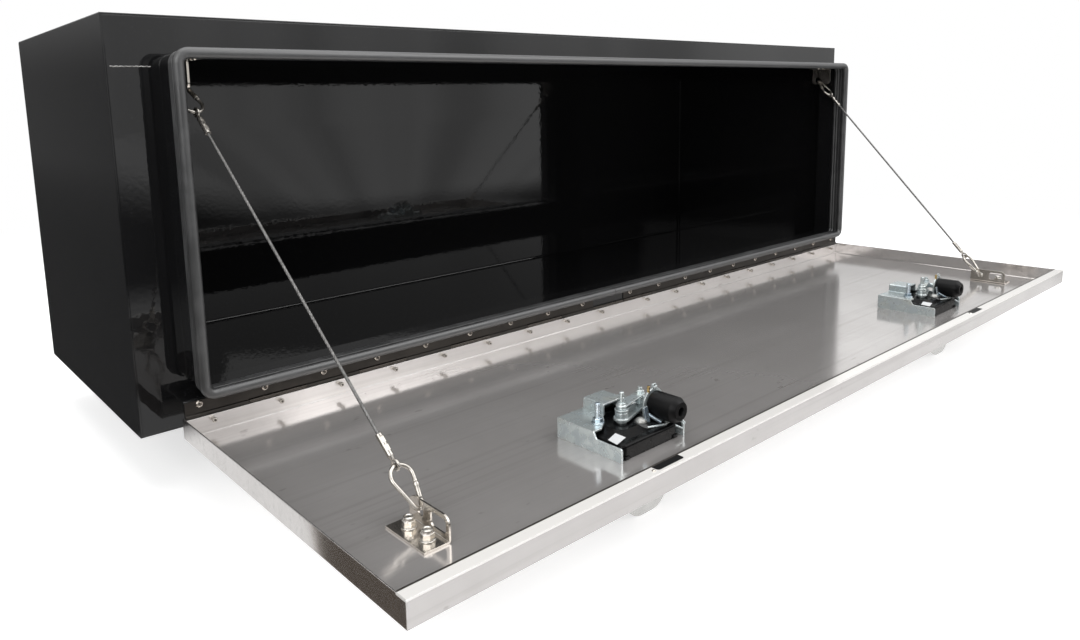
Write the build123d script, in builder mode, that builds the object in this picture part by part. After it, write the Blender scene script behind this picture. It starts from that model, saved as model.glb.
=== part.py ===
from build123d import *
from math import asin, atan2, cos, degrees, hypot, radians, sin, sqrt
import os

# Underbody truck tool box with a drop-down door, shown with the door fully open.
# Origin at the centre of the top face, front towards -Y, +Z up, sizes in millimetres.

# Cabinet body, folded from sheet
box_width = 1524.0
box_height = 457.2
box_depth = 420.0
box_sheet = 2.0
box_bend = 3.0

# Collar standing forward round the opening
collar_side_margin = 55.0
collar_base_margin = 49.0
collar_top_margin = 41.7
collar_reach = 47.0
collar_sheet = 2.0
collar_corner = 12.0

# Bulb seal pushed over the collar's edge
seal_clip_wall = 2.0
seal_clip_depth = 15.0
seal_fit_gap = 0.05
seal_slot_overrun = 1.0
seal_web = 2.0
seal_bulb_diameter = 12.0
seal_bulb_sink = 0.6
seal_butt_gap = 0.5
seal_gap = 0.4

# Door pan
pan_sheet = 1.2
pan_bend = 2.2
pan_side_margin = 34.0
pan_top_gap = 0.7
lip_width = 12.5
hinge_height = 24.5
hinge_rise = 22.8

# Continuous hinge
barrel_diameter = 5.2
hinge_pin_diameter = 3.0
running_gap = 0.05
leaf_sheet = 1.2
box_leaf_height = 16.5
door_leaf_height = 18.0
leaf_end_margin = 3.0
leaf_joint_gap = 2.0
knuckles_per_half = 10
knuckle_gap = 0.4
barrel_gap = 0.3
rail_sheet = 2.0

# Hinge rivets
rivet_diameter = 4.8
rivet_head_diameter = 7.4
rivet_head_height = 1.6
rivet_head_taper = 38.0
rivet_tail_length = 8.0
box_rivet_pitch = 76.2
box_rivet_rise = 12.2
box_rivet_end_margin = 16.3
rivet_edge_clear = 8.0
door_rivet_pitch = 79.7
door_rivet_drop = 8.0
door_rivet_end_margin = 29.7

# Upper stay brackets
top_bracket_inset = 17.0
top_bracket_sheet = 2.5
top_bracket_width = 24.0
top_bracket_reach = 30.0
top_bracket_depth = 40.0
top_bracket_height = 36.5
top_bracket_corner = 9.0
top_hole_diameter = 12.0
top_hole_rise = 9.7
top_hole_reach = 2.4
top_rivet_inset = 9.0

# Stay brackets on the door
door_bracket_inset = 88.0
door_bracket_sheet = 2.0
door_bracket_width = 26.0
door_bracket_length = 57.0
door_bracket_height = 23.0
door_bracket_front_gap = 124.0
door_bracket_corner = 8.0
door_hole_diameter = 9.0
door_hole_rise = 12.9
door_hole_inset = 16.4
window_length = 22.0
window_height = 13.0
window_corner = 4.0
window_inset = 31.0

# Screws and nuts of the door brackets
screw_diameter = 5.0
screw_gap = 0.1
screw_head_diameter = 11.0
screw_head_height = 2.2
screw_tip_rise = 14.0
screw_insets = (15.0, 42.0)
screw_side_inset = 12.0
nut_flats = 8.0
nut_height = 5.0
nut_collar_diameter = 7.0
nut_collar_height = 1.6
nut_gap = 0.05

# Wire stays with snap hooks
snap_wire = 4.0
snap_length = 42.0
snap_wide_radius = 6.0
snap_narrow_radius = 4.2
snap_bearing_gap = 0.6
eye_gap = 0.3
gate_diameter = 4.2
gate_gap = 0.3
gate_shares = (0.16, 0.84)
eye_radius = 4.2
eye_wire = 3.0
ferrule_diameter = 6.6
ferrule_length = 27.0
ferrule_neck = 5.0
ferrule_crimp_depth = 0.7
ferrule_crimp_length = 6.0
ferrule_crimp_shares = (0.34, 0.72)
cable_diameter = 3.2

# Latches, measured from the lever's pivot on the inner face of the pan
latch_left_x = -384.0
latch_right_x = 368.0
latch_front_gap = 105.0
latch_sheet = 2.0
housing_left_margin = 5.8
housing_right_margin = 7.5
housing_back_margin = 5.5
housing_front_margin = 3.0
housing_rise = 21.8
housing_low_rise = 14.7
housing_step_start = 1.0
housing_step_length = 4.0
cover_edge_drop = 13.0
housing_fold = 2.5
channel_left = -5.3
channel_right = 29.0
channel_front = 21.0
channel_rise = 33.6
side_wall_back = -15.0
side_wall_rise = 14.2
cup_x = 4.5
cup_side_margin = 10.5
cup_back = 45.0
cup_front = -36.0
cup_rise = 15.3
cup_rim_fillet = 3.0
cup_corner = 6.0
cup_wall = 2.0
dome_rise = 19.2
dome_corner = 12.0
dome_base_inset = 8.0
dome_top_inset = 19.0
bezel_margin = 8.0
bezel_corner = 14.0
bezel_sheet = 4.0
cutout_gap = 0.3
cheek_inset = 2.0
cheek_width = 6.0
cheek_length = 7.5
cheek_rise = 2.5
handle_pivot_drop = 1.7
handle_pin_diameter = 5.0
handle_knuckle = 8.0
handle_width = 67.0
handle_length = 71.0
handle_sheet = 3.5
handle_corner = 26.0
handle_wall_gap = 0.5
finger_hole_width = 40.0
finger_hole_height = 22.0
finger_hole_drop = 40.0
lever_sheet = 2.5
lever_clear = 2.4
lever_end_radius = 8.5
lever_tip_radius = 5.5
boss_diameter = 14.0
boss_rise = 30.3
drilled_pin_diameter = 5.0
drilled_pin_rise = 52.3
drilled_pin_hole = 2.0
drilled_pin_foot = 12.0
link_x = 42.0
link_rise = 44.3
link_gap = 0.3
bolt_travel = 10.0
bolt_axis_rise = 31.3
bolt_diameter = 8.0
bolt_tail_diameter = 11.0
bolt_tail_height = 9.0
roller_diameter = 26.0
roller_back = 10.0
roller_front = 45.0
roller_hole_diameter = 9.0
roller_hole_depth = 9.0
roller_chamfer = 4.0
guide_sheet = 2.0
guide_gap = 1.0
guide_radius = 16.5
guide_foot_clear = 0.3
stud_x = -25.0
stud_y = 11.0
stud_tip_rise = 36.3
guide_stud_x_offset = 4.0
brass_x_offset = -8.0
small_stud_diameter = 3.0
small_stud_length = 6.0
small_nut_flats = 5.5
small_nut_height = 2.4

# Notches in the lip beside each latch
notch_left = -67.0
notch_right = -28.0
notch_depth = 8.5
notch_corner = 3.0
notch_pad_gap = 0.2
lip_screw_offset = 4.0
lip_screw_diameter = 4.0
lip_screw_height = 1.4

# Derived levels and planes of the cabinet
front_y = -box_depth / 2
back_y = box_depth / 2
base_z = -box_height
inner_x = box_width / 2 - box_sheet
collar_x = box_width / 2 - collar_side_margin
collar_base_z = base_z + collar_base_margin
collar_top_z = -collar_top_margin
collar_mid_z = (collar_base_z + collar_top_z) / 2
seal_reach = collar_reach + seal_web + seal_bulb_diameter - seal_bulb_sink

# Derived levels and planes of the door, open at rest
hinge_y = front_y - (seal_reach + seal_gap - hinge_rise)
hinge_z = base_z + hinge_height
barrel_radius = barrel_diameter / 2
pan_top_z = hinge_z - hinge_rise
pan_base_z = pan_top_z - pan_sheet
pan_x = box_width / 2 - pan_side_margin
leaf_x = pan_x - leaf_end_margin
pan_front_y = hinge_y - (box_height - hinge_height - pan_top_gap)
pan_back_y = hinge_y - leaf_sheet / 2
latch_y = pan_front_y + latch_front_gap
rail_top_z = hinge_z + box_leaf_height + rail_sheet
left_half = (-leaf_x, -leaf_joint_gap)
right_half = (0, leaf_x)
knuckle_span = (leaf_x - leaf_joint_gap) / knuckles_per_half
box_leaf_left_end = -leaf_joint_gap - knuckle_span
top_leg_x = -(collar_x - collar_sheet - top_bracket_inset)
top_base_z = collar_top_z - collar_sheet
top_rivet_places = [
    (side * (top_leg_x + top_bracket_width / 2), front_y - row * top_rivet_inset)
    for side in (-1, 1)
    for row in (1, 2)
]
door_leg_x = -(pan_x - door_bracket_inset)
door_bracket_back_y = pan_front_y + door_bracket_front_gap
screw_places = [
    (side * (door_leg_x - screw_side_inset), door_bracket_back_y - inset)
    for side in (-1, 1)
    for inset in screw_insets
]
latch_frames = {
    "left": Location((latch_left_x, latch_y, pan_top_z)),
    "right": Location((latch_right_x, latch_y, pan_top_z)),
}
cup_left = cup_x - handle_width / 2 - cup_side_margin
cup_right = cup_x + handle_width / 2 + cup_side_margin
housing_left = cup_left - housing_left_margin
housing_right = cup_right + housing_right_margin
housing_back = cup_back + housing_back_margin
housing_front = housing_front_margin - cup_front
link_y = bolt_travel


def rivet_columns(start, end, margin, pitch):
    """Rivet places at a fixed pitch from one end of a leaf, as many as fit before its other end."""
    way = 1 if end > start else -1
    count = int((abs(end - start) - margin - rivet_edge_clear) // pitch) + 1
    return [start + way * (margin + n * pitch) for n in range(count)]


box_rivet_columns = (
    rivet_columns(-leaf_x, box_leaf_left_end, box_rivet_end_margin, box_rivet_pitch),
    rivet_columns(0, leaf_x, box_rivet_end_margin, box_rivet_pitch),
)
door_rivet_columns = (
    rivet_columns(-leaf_x, -leaf_joint_gap, door_rivet_end_margin, door_rivet_pitch),
    rivet_columns(leaf_x, 0, door_rivet_end_margin, door_rivet_pitch),
)


def save(part, name):
    """Label a finished piece and write it under its own name."""
    part.label = name
    export_step(part, f"parts/{name}.step")


def save_mirrored(part, name):
    """Write a left-hand piece and its mirror image as the right-hand one."""
    save(part, f"{name}_left")
    save(mirror(part, about=Plane.YZ), f"{name}_right")


def save_on_latches(part, name):
    """Write one latch piece at the left and at the right latch."""
    for side, frame in latch_frames.items():
        save(part.moved(frame), f"{name}_{side}")


def save_latch_group(part, name):
    """Write the small hardware of both latches as one group of solids."""
    copies = [solid for frame in latch_frames.values() for solid in part.moved(frame).solids()]
    save(Compound(children=copies), name)


def fill(x_span, y_span, z_span, mode=Mode.ADD):
    """Add a box between three (low, high) spans to the part being built."""
    with Locations((x_span[0], y_span[0], z_span[0])):
        Box(
            x_span[1] - x_span[0],
            y_span[1] - y_span[0],
            z_span[1] - z_span[0],
            align=(Align.MIN, Align.MIN, Align.MIN),
            mode=mode,
        )


os.makedirs("parts", exist_ok=True)

# Wrap: top, back and bottom of one folded sheet
with BuildPart() as shell_wrap:
    with BuildSketch(Plane.YZ.offset(-inner_x)):
        with BuildLine():
            FilletPolyline(
                (front_y, -box_sheet / 2),
                (back_y - box_sheet / 2, -box_sheet / 2),
                (back_y - box_sheet / 2, base_z + box_sheet / 2),
                (front_y, base_z + box_sheet / 2),
                radius=box_bend,
            )
        trace(line_width=box_sheet)
    extrude(amount=2 * inner_x)
shell_wrap.part.label = "shell_wrap"
export_step(shell_wrap.part, "parts/shell_wrap.step")

# End panels, rounded at the back to the wrap's outer bend
with BuildPart() as end_panel:
    with BuildSketch(Plane.YZ.offset(-box_width / 2)) as end_outline:
        with Locations((0, base_z / 2)):
            Rectangle(box_depth, box_height)
        fillet(end_outline.vertices().group_by(Axis.X)[-1], box_bend + box_sheet / 2)
    extrude(amount=box_sheet)
save(end_panel.part, "left_end")
save(mirror(end_panel.part, about=Plane.YZ), "right_end")

# Front frame: front sheet and the collar round its opening
with BuildPart() as front_frame:
    with BuildSketch(Plane.XZ.offset(-front_y - box_sheet)):
        with Locations((0, base_z / 2)):
            Rectangle(2 * inner_x, box_height - 2 * box_sheet)
    extrude(amount=box_sheet)
    with BuildSketch(Plane.XZ.offset(-front_y - box_sheet)):
        with Locations((0, collar_mid_z)):
            RectangleRounded(2 * collar_x, collar_top_z - collar_base_z, collar_corner)
    extrude(amount=collar_reach + box_sheet)
    with BuildSketch(Plane.XZ.offset(-front_y - box_sheet)):
        with Locations((0, collar_mid_z)):
            RectangleRounded(
                2 * (collar_x - collar_sheet),
                collar_top_z - collar_base_z - 2 * collar_sheet,
                collar_corner - collar_sheet,
            )
    extrude(amount=collar_reach + box_sheet, mode=Mode.SUBTRACT)
    with BuildSketch(Plane.XY.offset(top_base_z)):
        with Locations(top_rivet_places):
            Circle(rivet_diameter / 2 + screw_gap)
    extrude(amount=collar_sheet, mode=Mode.SUBTRACT)
front_frame.part.label = "front_frame"
export_step(front_frame.part, "parts/front_frame.step")

# Bulb seal, one section swept round the collar from joint to joint
seal_x = collar_x - collar_sheet / 2
seal_low_z = collar_base_z + collar_sheet / 2
seal_high_z = collar_top_z - collar_sheet / 2
with BuildPart() as door_seal:
    with BuildLine(Plane.XZ.offset(-front_y)) as seal_route:
        FilletPolyline(
            (seal_butt_gap / 2, seal_low_z),
            (seal_x, seal_low_z),
            (seal_x, seal_high_z),
            (-seal_x, seal_high_z),
            (-seal_x, seal_low_z),
            (-seal_butt_gap / 2, seal_low_z),
            radius=collar_corner - collar_sheet / 2,
        )
    with BuildSketch(Plane(origin=seal_route.line @ 0, x_dir=(0, -1, 0), z_dir=(1, 0, 0))):
        with Locations((collar_reach + seal_web - (seal_clip_depth + seal_web) / 2, 0)):
            Rectangle(seal_clip_depth + seal_web, collar_sheet + 2 * seal_clip_wall)
        with Locations((seal_reach - seal_bulb_diameter / 2, 0)):
            Circle(seal_bulb_diameter / 2)
        with Locations((collar_reach + seal_fit_gap, 0)):
            Rectangle(
                seal_clip_depth + seal_slot_overrun,
                collar_sheet + 2 * seal_fit_gap,
                align=(Align.MAX, Align.CENTER),
                mode=Mode.SUBTRACT,
            )
    sweep()
door_seal.part.label = "door_seal"
export_step(door_seal.part, "parts/door_seal.step")

# Hinge rail: black angle that carries the hinge in front of the cabinet
rail_back_y = hinge_y + leaf_sheet / 2 + rail_sheet
with BuildPart() as hinge_rail:
    with BuildSketch(Plane.YZ.offset(-leaf_x)):
        with BuildLine():
            FilletPolyline(
                (front_y, rail_top_z - rail_sheet / 2),
                (rail_back_y - rail_sheet / 2, rail_top_z - rail_sheet / 2),
                (rail_back_y - rail_sheet / 2, hinge_z + barrel_radius + barrel_gap),
                radius=rail_sheet,
            )
        trace(line_width=rail_sheet)
    extrude(amount=2 * leaf_x)
hinge_rail.part.label = "hinge_rail"
export_step(hinge_rail.part, "parts/hinge_rail.step")


def hinge_leaf(plate_span, half_span, first, edge_height):
    """One leaf: a plate above or below the axis, with every second knuckle of its half."""
    step = (half_span[1] - half_span[0]) / knuckles_per_half
    bottom = min(barrel_radius + barrel_gap, edge_height)
    top = max(-barrel_radius - barrel_gap, edge_height)
    plate_z = (bottom, edge_height) if edge_height > 0 else (edge_height, top)
    web_z = (0, plate_z[0]) if edge_height > 0 else (plate_z[1], 0)
    leaf_y = (hinge_y - leaf_sheet / 2, hinge_y + leaf_sheet / 2)
    with BuildPart() as leaf:
        fill(plate_span, leaf_y, (hinge_z + plate_z[0], hinge_z + plate_z[1]))
        for index in range(first, knuckles_per_half, 2):
            start = half_span[0] + index * step + knuckle_gap / 2
            span = (start, start + step - knuckle_gap)
            fill(span, leaf_y, (hinge_z + web_z[0], hinge_z + web_z[1]))
            with BuildSketch(Plane(origin=(span[0], hinge_y, hinge_z), z_dir=(1, 0, 0))):
                Circle(barrel_radius)
            extrude(amount=step - knuckle_gap)
        with BuildSketch(Plane(origin=(half_span[0], hinge_y, hinge_z), z_dir=(1, 0, 0))):
            Circle(hinge_pin_diameter / 2 + running_gap)
        extrude(amount=half_span[1] - half_span[0], mode=Mode.SUBTRACT)
    return leaf.part


# Hinge leaves: the cabinet's stand up from the barrel, the door's hang down
save(hinge_leaf((-leaf_x, box_leaf_left_end), left_half, 0, box_leaf_height), "hinge_leaf_box_left")
save(hinge_leaf(right_half, right_half, 1, box_leaf_height), "hinge_leaf_box_right")
save(hinge_leaf(left_half, left_half, 1, -door_leaf_height), "hinge_leaf_door_left")
save(hinge_leaf(right_half, right_half, 0, -door_leaf_height), "hinge_leaf_door_right")

with BuildPart() as hinge_pins:
    for half in (left_half, right_half):
        with BuildSketch(Plane(origin=(half[0], hinge_y, hinge_z), z_dir=(1, 0, 0))):
            Circle(hinge_pin_diameter / 2)
        extrude(amount=half[1] - half[0])
hinge_pins.part.label = "hinge_pins"
export_step(hinge_pins.part, "parts/hinge_pins.step")


def rivet_row(columns, height, head_y, outward, shank_length):
    """Blind rivets: tapered heads on one side and a shank that runs on as the tail."""
    places = [(x, height) for row in columns for x in row]
    with BuildPart() as rivets:
        with BuildSketch(Plane.XZ.offset(-head_y)):
            with Locations(places):
                Circle(rivet_head_diameter / 2)
        extrude(amount=rivet_head_height * outward, taper=rivet_head_taper)
        with BuildSketch(Plane.XZ.offset(-head_y)):
            with Locations(places):
                Circle(rivet_diameter / 2)
        extrude(amount=-shank_length * outward)
    return rivets.part


# Rivets: heads in front of the box leaf, and on the back of the door leaf
save(
    rivet_row(
        box_rivet_columns,
        hinge_z + box_rivet_rise,
        hinge_y - leaf_sheet / 2,
        1,
        leaf_sheet + rail_sheet + rivet_tail_length / 2,
    ),
    "box_rivets",
)
save(
    rivet_row(
        door_rivet_columns,
        hinge_z - door_rivet_drop,
        hinge_y + leaf_sheet / 2,
        -1,
        leaf_sheet + pan_sheet + rivet_tail_length,
    ),
    "door_rivets",
)

# Door pan: folded panel with four flanges and a lip along the front one
flange_top_z = hinge_z
back_flange_top_z = hinge_z - barrel_radius - barrel_gap
with BuildPart() as pan_hollow:
    fill(
        (-pan_x + pan_sheet, pan_x - pan_sheet),
        (pan_front_y + pan_sheet, pan_back_y - pan_sheet),
        (pan_top_z, flange_top_z - pan_sheet),
    )
    fillet(pan_hollow.faces().sort_by(Axis.Z)[0].edges(), pan_bend - pan_sheet)

with BuildPart() as door_pan:
    fill((-pan_x, pan_x), (pan_front_y, pan_back_y), (pan_base_z, flange_top_z))
    fillet(door_pan.faces().sort_by(Axis.Z)[0].edges(), pan_bend)
    add(pan_hollow.part, mode=Mode.SUBTRACT)
    fill(
        (-pan_x + pan_sheet, pan_x - pan_sheet),
        (pan_front_y + lip_width, pan_back_y - pan_sheet),
        (flange_top_z - pan_sheet, flange_top_z),
        mode=Mode.SUBTRACT,
    )
    fill(
        (-pan_x + pan_sheet, pan_x - pan_sheet),
        (pan_back_y - pan_sheet, pan_back_y),
        (back_flange_top_z, flange_top_z),
        mode=Mode.SUBTRACT,
    )
    notch_out = pan_front_y + lip_width - notch_depth
    for centre in (latch_left_x, latch_right_x):
        with BuildSketch(Plane.XY.offset(flange_top_z - pan_sheet)) as notch:
            with Locations((centre + (notch_left + notch_right) / 2, notch_out + notch_depth / 2)):
                Rectangle(notch_right - notch_left, notch_depth)
            fillet(notch.vertices().group_by(Axis.Y)[0], notch_corner)
        extrude(amount=pan_sheet, mode=Mode.SUBTRACT)
        with BuildSketch(Plane.XY.offset(pan_base_z)):
            with Locations((centre + cup_x, latch_y + (cup_back + cup_front) / 2)):
                RectangleRounded(
                    cup_right - cup_left + 2 * cutout_gap,
                    cup_back - cup_front + 2 * cutout_gap,
                    cup_corner + cutout_gap,
                )
        extrude(amount=pan_sheet, mode=Mode.SUBTRACT)
    with BuildSketch(Plane.XY.offset(pan_base_z)):
        with Locations(screw_places):
            Circle(screw_diameter / 2 + screw_gap)
    extrude(amount=pan_sheet, mode=Mode.SUBTRACT)
door_pan.part.label = "door_pan"
export_step(door_pan.part, "parts/door_pan.step")

# Pads that close the notches, flush with the lip
with BuildPart() as lip_pads:
    for centre in (latch_left_x, latch_right_x):
        with BuildSketch(Plane.XY.offset(flange_top_z - pan_sheet)) as pad:
            with Locations((centre + (notch_left + notch_right) / 2, notch_out + notch_depth / 2)):
                Rectangle(notch_right - notch_left - 2 * notch_pad_gap, notch_depth - 2 * notch_pad_gap)
            fillet(pad.vertices().group_by(Axis.Y)[0], notch_corner)
        extrude(amount=pan_sheet)
lip_pads.part.label = "lip_pads"
export_step(lip_pads.part, "parts/lip_pads.step")

# Small screws beside the notches
with BuildPart() as lip_screws:
    for centre in (latch_left_x, latch_right_x):
        with BuildSketch(Plane.XY.offset(flange_top_z)):
            with Locations((centre + notch_left - lip_screw_offset, pan_front_y + lip_width / 2)):
                Circle(lip_screw_diameter / 2)
        extrude(amount=lip_screw_height, taper=rivet_head_taper)
lip_screws.part.label = "lip_screws"
export_step(lip_screws.part, "parts/lip_screws.step")

# Upper stay bracket: base under the collar, leg with a large hole
top_hole_y = front_y - top_hole_reach
top_hole_z = top_base_z - top_bracket_height + top_hole_rise
with BuildPart() as top_bracket:
    with BuildSketch(Plane.XZ.offset(-front_y + top_bracket_reach - top_bracket_depth)):
        with BuildLine():
            FilletPolyline(
                (top_leg_x, top_base_z - top_bracket_height),
                (top_leg_x, top_base_z - top_bracket_sheet / 2),
                (top_leg_x + top_bracket_width, top_base_z - top_bracket_sheet / 2),
                radius=top_bracket_sheet,
            )
        trace(line_width=top_bracket_sheet)
    extrude(amount=top_bracket_depth)
    low_corners = top_bracket.edges().filter_by(Axis.X).group_by(Axis.Z)[0]
    fillet(low_corners, top_bracket_corner)
    with BuildSketch(Plane.YZ.offset(top_leg_x - top_bracket_sheet / 2)):
        with Locations((top_hole_y, top_hole_z)):
            Circle(top_hole_diameter / 2)
    extrude(amount=top_bracket_sheet, mode=Mode.SUBTRACT)
    with BuildSketch(Plane.XY.offset(top_base_z - top_bracket_sheet)):
        with Locations(top_rivet_places):
            Circle(rivet_diameter / 2 + screw_gap)
    extrude(amount=top_bracket_sheet, mode=Mode.SUBTRACT)
save_mirrored(top_bracket.part, "stay_bracket_top")

# Rivets of the upper brackets, through the collar
with BuildPart() as top_rivets:
    with BuildSketch(Plane.XY.offset(top_base_z - top_bracket_sheet)):
        with Locations(top_rivet_places):
            Circle(rivet_head_diameter / 2)
    extrude(amount=-rivet_head_height, taper=rivet_head_taper)
    with BuildSketch(Plane.XY.offset(top_base_z - top_bracket_sheet)):
        with Locations(top_rivet_places):
            Circle(rivet_diameter / 2)
    extrude(amount=top_bracket_sheet + collar_sheet)
    with BuildSketch(Plane.XY.offset(collar_top_z)):
        with Locations(top_rivet_places):
            Circle(rivet_head_diameter / 2)
    extrude(amount=rivet_head_height / 2)
top_rivets.part.label = "top_bracket_rivets"
export_step(top_rivets.part, "parts/top_bracket_rivets.step")

# Door stay bracket: base on the pan, leg with a snap hole and a window
door_hole_y = door_bracket_back_y - door_hole_inset
door_hole_z = pan_top_z + door_hole_rise
with BuildPart() as door_bracket:
    with BuildSketch(Plane.XZ.offset(-door_bracket_back_y)):
        with BuildLine():
            FilletPolyline(
                (door_leg_x - door_bracket_width, pan_top_z + door_bracket_sheet / 2),
                (door_leg_x, pan_top_z + door_bracket_sheet / 2),
                (door_leg_x, pan_top_z + door_bracket_height),
                radius=door_bracket_sheet,
            )
        trace(line_width=door_bracket_sheet)
    extrude(amount=door_bracket_length)
    fillet(door_bracket.edges().filter_by(Axis.X).group_by(Axis.Z)[-1], door_bracket_corner)
    with BuildSketch(Plane.YZ.offset(door_leg_x - door_bracket_sheet / 2)):
        with Locations((door_hole_y, door_hole_z)):
            Circle(door_hole_diameter / 2)
        with Locations((
            door_bracket_back_y - window_inset - window_length / 2,
            pan_top_z + door_bracket_height - window_height / 2 - window_corner,
        )):
            RectangleRounded(window_length, window_height, window_corner)
    extrude(amount=door_bracket_sheet, mode=Mode.SUBTRACT)
    with BuildSketch(Plane.XY.offset(pan_top_z)):
        with Locations(screw_places):
            Circle(screw_diameter / 2 + screw_gap)
    extrude(amount=door_bracket_sheet, mode=Mode.SUBTRACT)
save_mirrored(door_bracket.part, "stay_bracket_door")

# Screws and nuts of the door brackets, two on each side
nut_base_z = pan_top_z + door_bracket_sheet
with BuildPart() as bracket_screws:
    with BuildSketch(Plane.XY.offset(pan_base_z)):
        with Locations(screw_places):
            Circle(screw_head_diameter / 2)
    extrude(amount=-screw_head_height, taper=rivet_head_taper)
    with BuildSketch(Plane.XY.offset(pan_base_z)):
        with Locations(screw_places):
            Circle(screw_diameter / 2)
    extrude(amount=pan_sheet + screw_tip_rise)
bracket_screws.part.label = "bracket_screws"
export_step(bracket_screws.part, "parts/bracket_screws.step")

with BuildPart() as bracket_nuts:
    with BuildSketch(Plane.XY.offset(nut_base_z)):
        with Locations(screw_places):
            RegularPolygon(nut_flats / 2, 6, major_radius=False)
    extrude(amount=nut_height)
    with BuildSketch(Plane.XY.offset(nut_base_z + nut_height)):
        with Locations(screw_places):
            Circle(nut_collar_diameter / 2)
    extrude(amount=nut_collar_height)
    with BuildSketch(Plane.XY.offset(nut_base_z)):
        with Locations(screw_places):
            Circle(screw_diameter / 2 + nut_gap)
    extrude(amount=nut_height + nut_collar_height, mode=Mode.SUBTRACT)
bracket_nuts.part.label = "bracket_nuts"
export_step(bracket_nuts.part, "parts/bracket_nuts.step")

# Stay line: the snaps bear on the hole edges in the direction of the pull
pull = Vector(0, door_hole_y - top_hole_y, door_hole_z - top_hole_z).normalized()
top_seat = (top_hole_diameter - snap_wire) / 2 - snap_bearing_gap
door_seat = (door_hole_diameter - snap_wire) / 2 - snap_bearing_gap
stay_top = Vector(top_leg_x, top_hole_y, top_hole_z) + pull * top_seat
stay_low = Vector(door_leg_x, door_hole_y, door_hole_z) - pull * door_seat
stay_dir = (stay_low - stay_top).normalized()
stay_side = Vector(-stay_dir.Y, stay_dir.X, 0).normalized()
low_eye = stay_low - stay_dir * snap_length
top_eye = stay_top + stay_dir * snap_length

# Fold point of the slack rope: it hangs below the top snap when the door is shut
shut_low = Vector(
    door_leg_x,
    hinge_y + (stay_low.Z - hinge_z),
    hinge_z - (stay_low.Y - hinge_y),
)
shut_drop = snap_length * sqrt(1 - stay_dir.X ** 2)
shut_eye = shut_low + Vector(-stay_dir.X * snap_length, 0, -shut_drop)
shut_gap = shut_eye - stay_top
rope_reach = (low_eye - stay_top).length
upper_reach = (rope_reach ** 2 - shut_gap.length ** 2) / (2 * (shut_gap.Z + rope_reach))
fold_point = stay_top + stay_dir * upper_reach


def snap_plane(seat, along):
    """Plane of a snap hook: origin where its narrow end bears, X along the hook."""
    return Plane(origin=seat, x_dir=along, z_dir=along.cross(stay_side))


def snap_hook(seat, along):
    """Pear-shaped wire hook, open on one side where its gate sits."""
    rise = snap_wide_radius - snap_narrow_radius
    lean = asin(rise / (snap_length - snap_wide_radius - snap_narrow_radius))
    narrow_x, narrow_y = snap_narrow_radius * (1 - sin(lean)), snap_narrow_radius * cos(lean)
    wide_x, wide_y = snap_length - snap_wide_radius * (1 + sin(lean)), snap_wide_radius * cos(lean)
    gate_ends = [
        (narrow_x + (wide_x - narrow_x) * share, narrow_y + (wide_y - narrow_y) * share)
        for share in gate_shares
    ]
    plane = snap_plane(seat, along)
    with BuildPart() as hook:
        with BuildLine(plane) as route:
            Line(gate_ends[0], (narrow_x, narrow_y))
            ThreePointArc((narrow_x, narrow_y), (0, 0), (narrow_x, -narrow_y))
            Line((narrow_x, -narrow_y), (wide_x, -wide_y))
            ThreePointArc((wide_x, -wide_y), (snap_length, 0), (wide_x, wide_y))
            Line((wide_x, wide_y), gate_ends[1])
        with BuildSketch(Plane(origin=route.line @ 0, z_dir=route.line % 0)):
            Circle(snap_wire / 2)
        sweep(path=route.line)
    return hook.part, plane, gate_ends


def snap_gate(plane, ends):
    """Straight gate between the two ends of a hook's wire."""
    start = plane.from_local_coords(ends[0])
    finish = plane.from_local_coords(ends[1])
    along = (finish - start).normalized()
    run = (finish - start).length
    with BuildPart() as gate:
        with BuildSketch(Plane(origin=start + along * gate_gap, z_dir=along)):
            Circle(gate_diameter / 2)
        extrude(amount=run - 2 * gate_gap)
        chamfer(gate.edges().filter_by(GeomType.CIRCLE), gate_diameter / 6)
    return gate.part


def ferrule(eye, along):
    """Crimped sleeve with the eye that hangs in a hook's wide end."""
    centre = eye + along * (eye_radius - (snap_wire + eye_wire) / 2 - eye_gap)
    body_start = centre + along * eye_radius
    eye_plane = Plane(origin=centre, x_dir=along, z_dir=stay_side)
    with BuildPart() as sleeve:
        with BuildSketch(Plane(origin=centre + eye_plane.y_dir * eye_radius, z_dir=along)):
            Circle(eye_wire / 2)
        revolve(axis=Axis(centre, stay_side), revolution_arc=360)
        neck_plane = Plane(origin=body_start, x_dir=stay_side, z_dir=along)
        with BuildSketch(neck_plane):
            Circle(eye_wire / 2)
        with BuildSketch(neck_plane.offset(ferrule_neck)):
            Circle(ferrule_diameter / 2)
        loft()
        with BuildSketch(neck_plane.offset(ferrule_neck)):
            Circle(ferrule_diameter / 2)
        extrude(amount=ferrule_length - ferrule_neck)
        crimp_side = ferrule_diameter - ferrule_crimp_depth
        for share in ferrule_crimp_shares:
            crimp_centre = ferrule_neck + share * (ferrule_length - ferrule_neck)
            with BuildSketch(neck_plane.offset(crimp_centre - ferrule_crimp_length / 2)):
                with Locations((0, crimp_side), (0, -crimp_side)):
                    Rectangle(2 * ferrule_diameter, ferrule_diameter)
            extrude(amount=ferrule_crimp_length, mode=Mode.SUBTRACT)
    return sleeve.part, body_start + along * ferrule_length


def rope(start, finish):
    """Straight wire rope between two points."""
    along = (finish - start).normalized()
    with BuildPart() as strand:
        with BuildSketch(Plane(origin=start, z_dir=along)):
            Circle(cable_diameter / 2)
        extrude(amount=(finish - start).length)
    return strand.part


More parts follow.
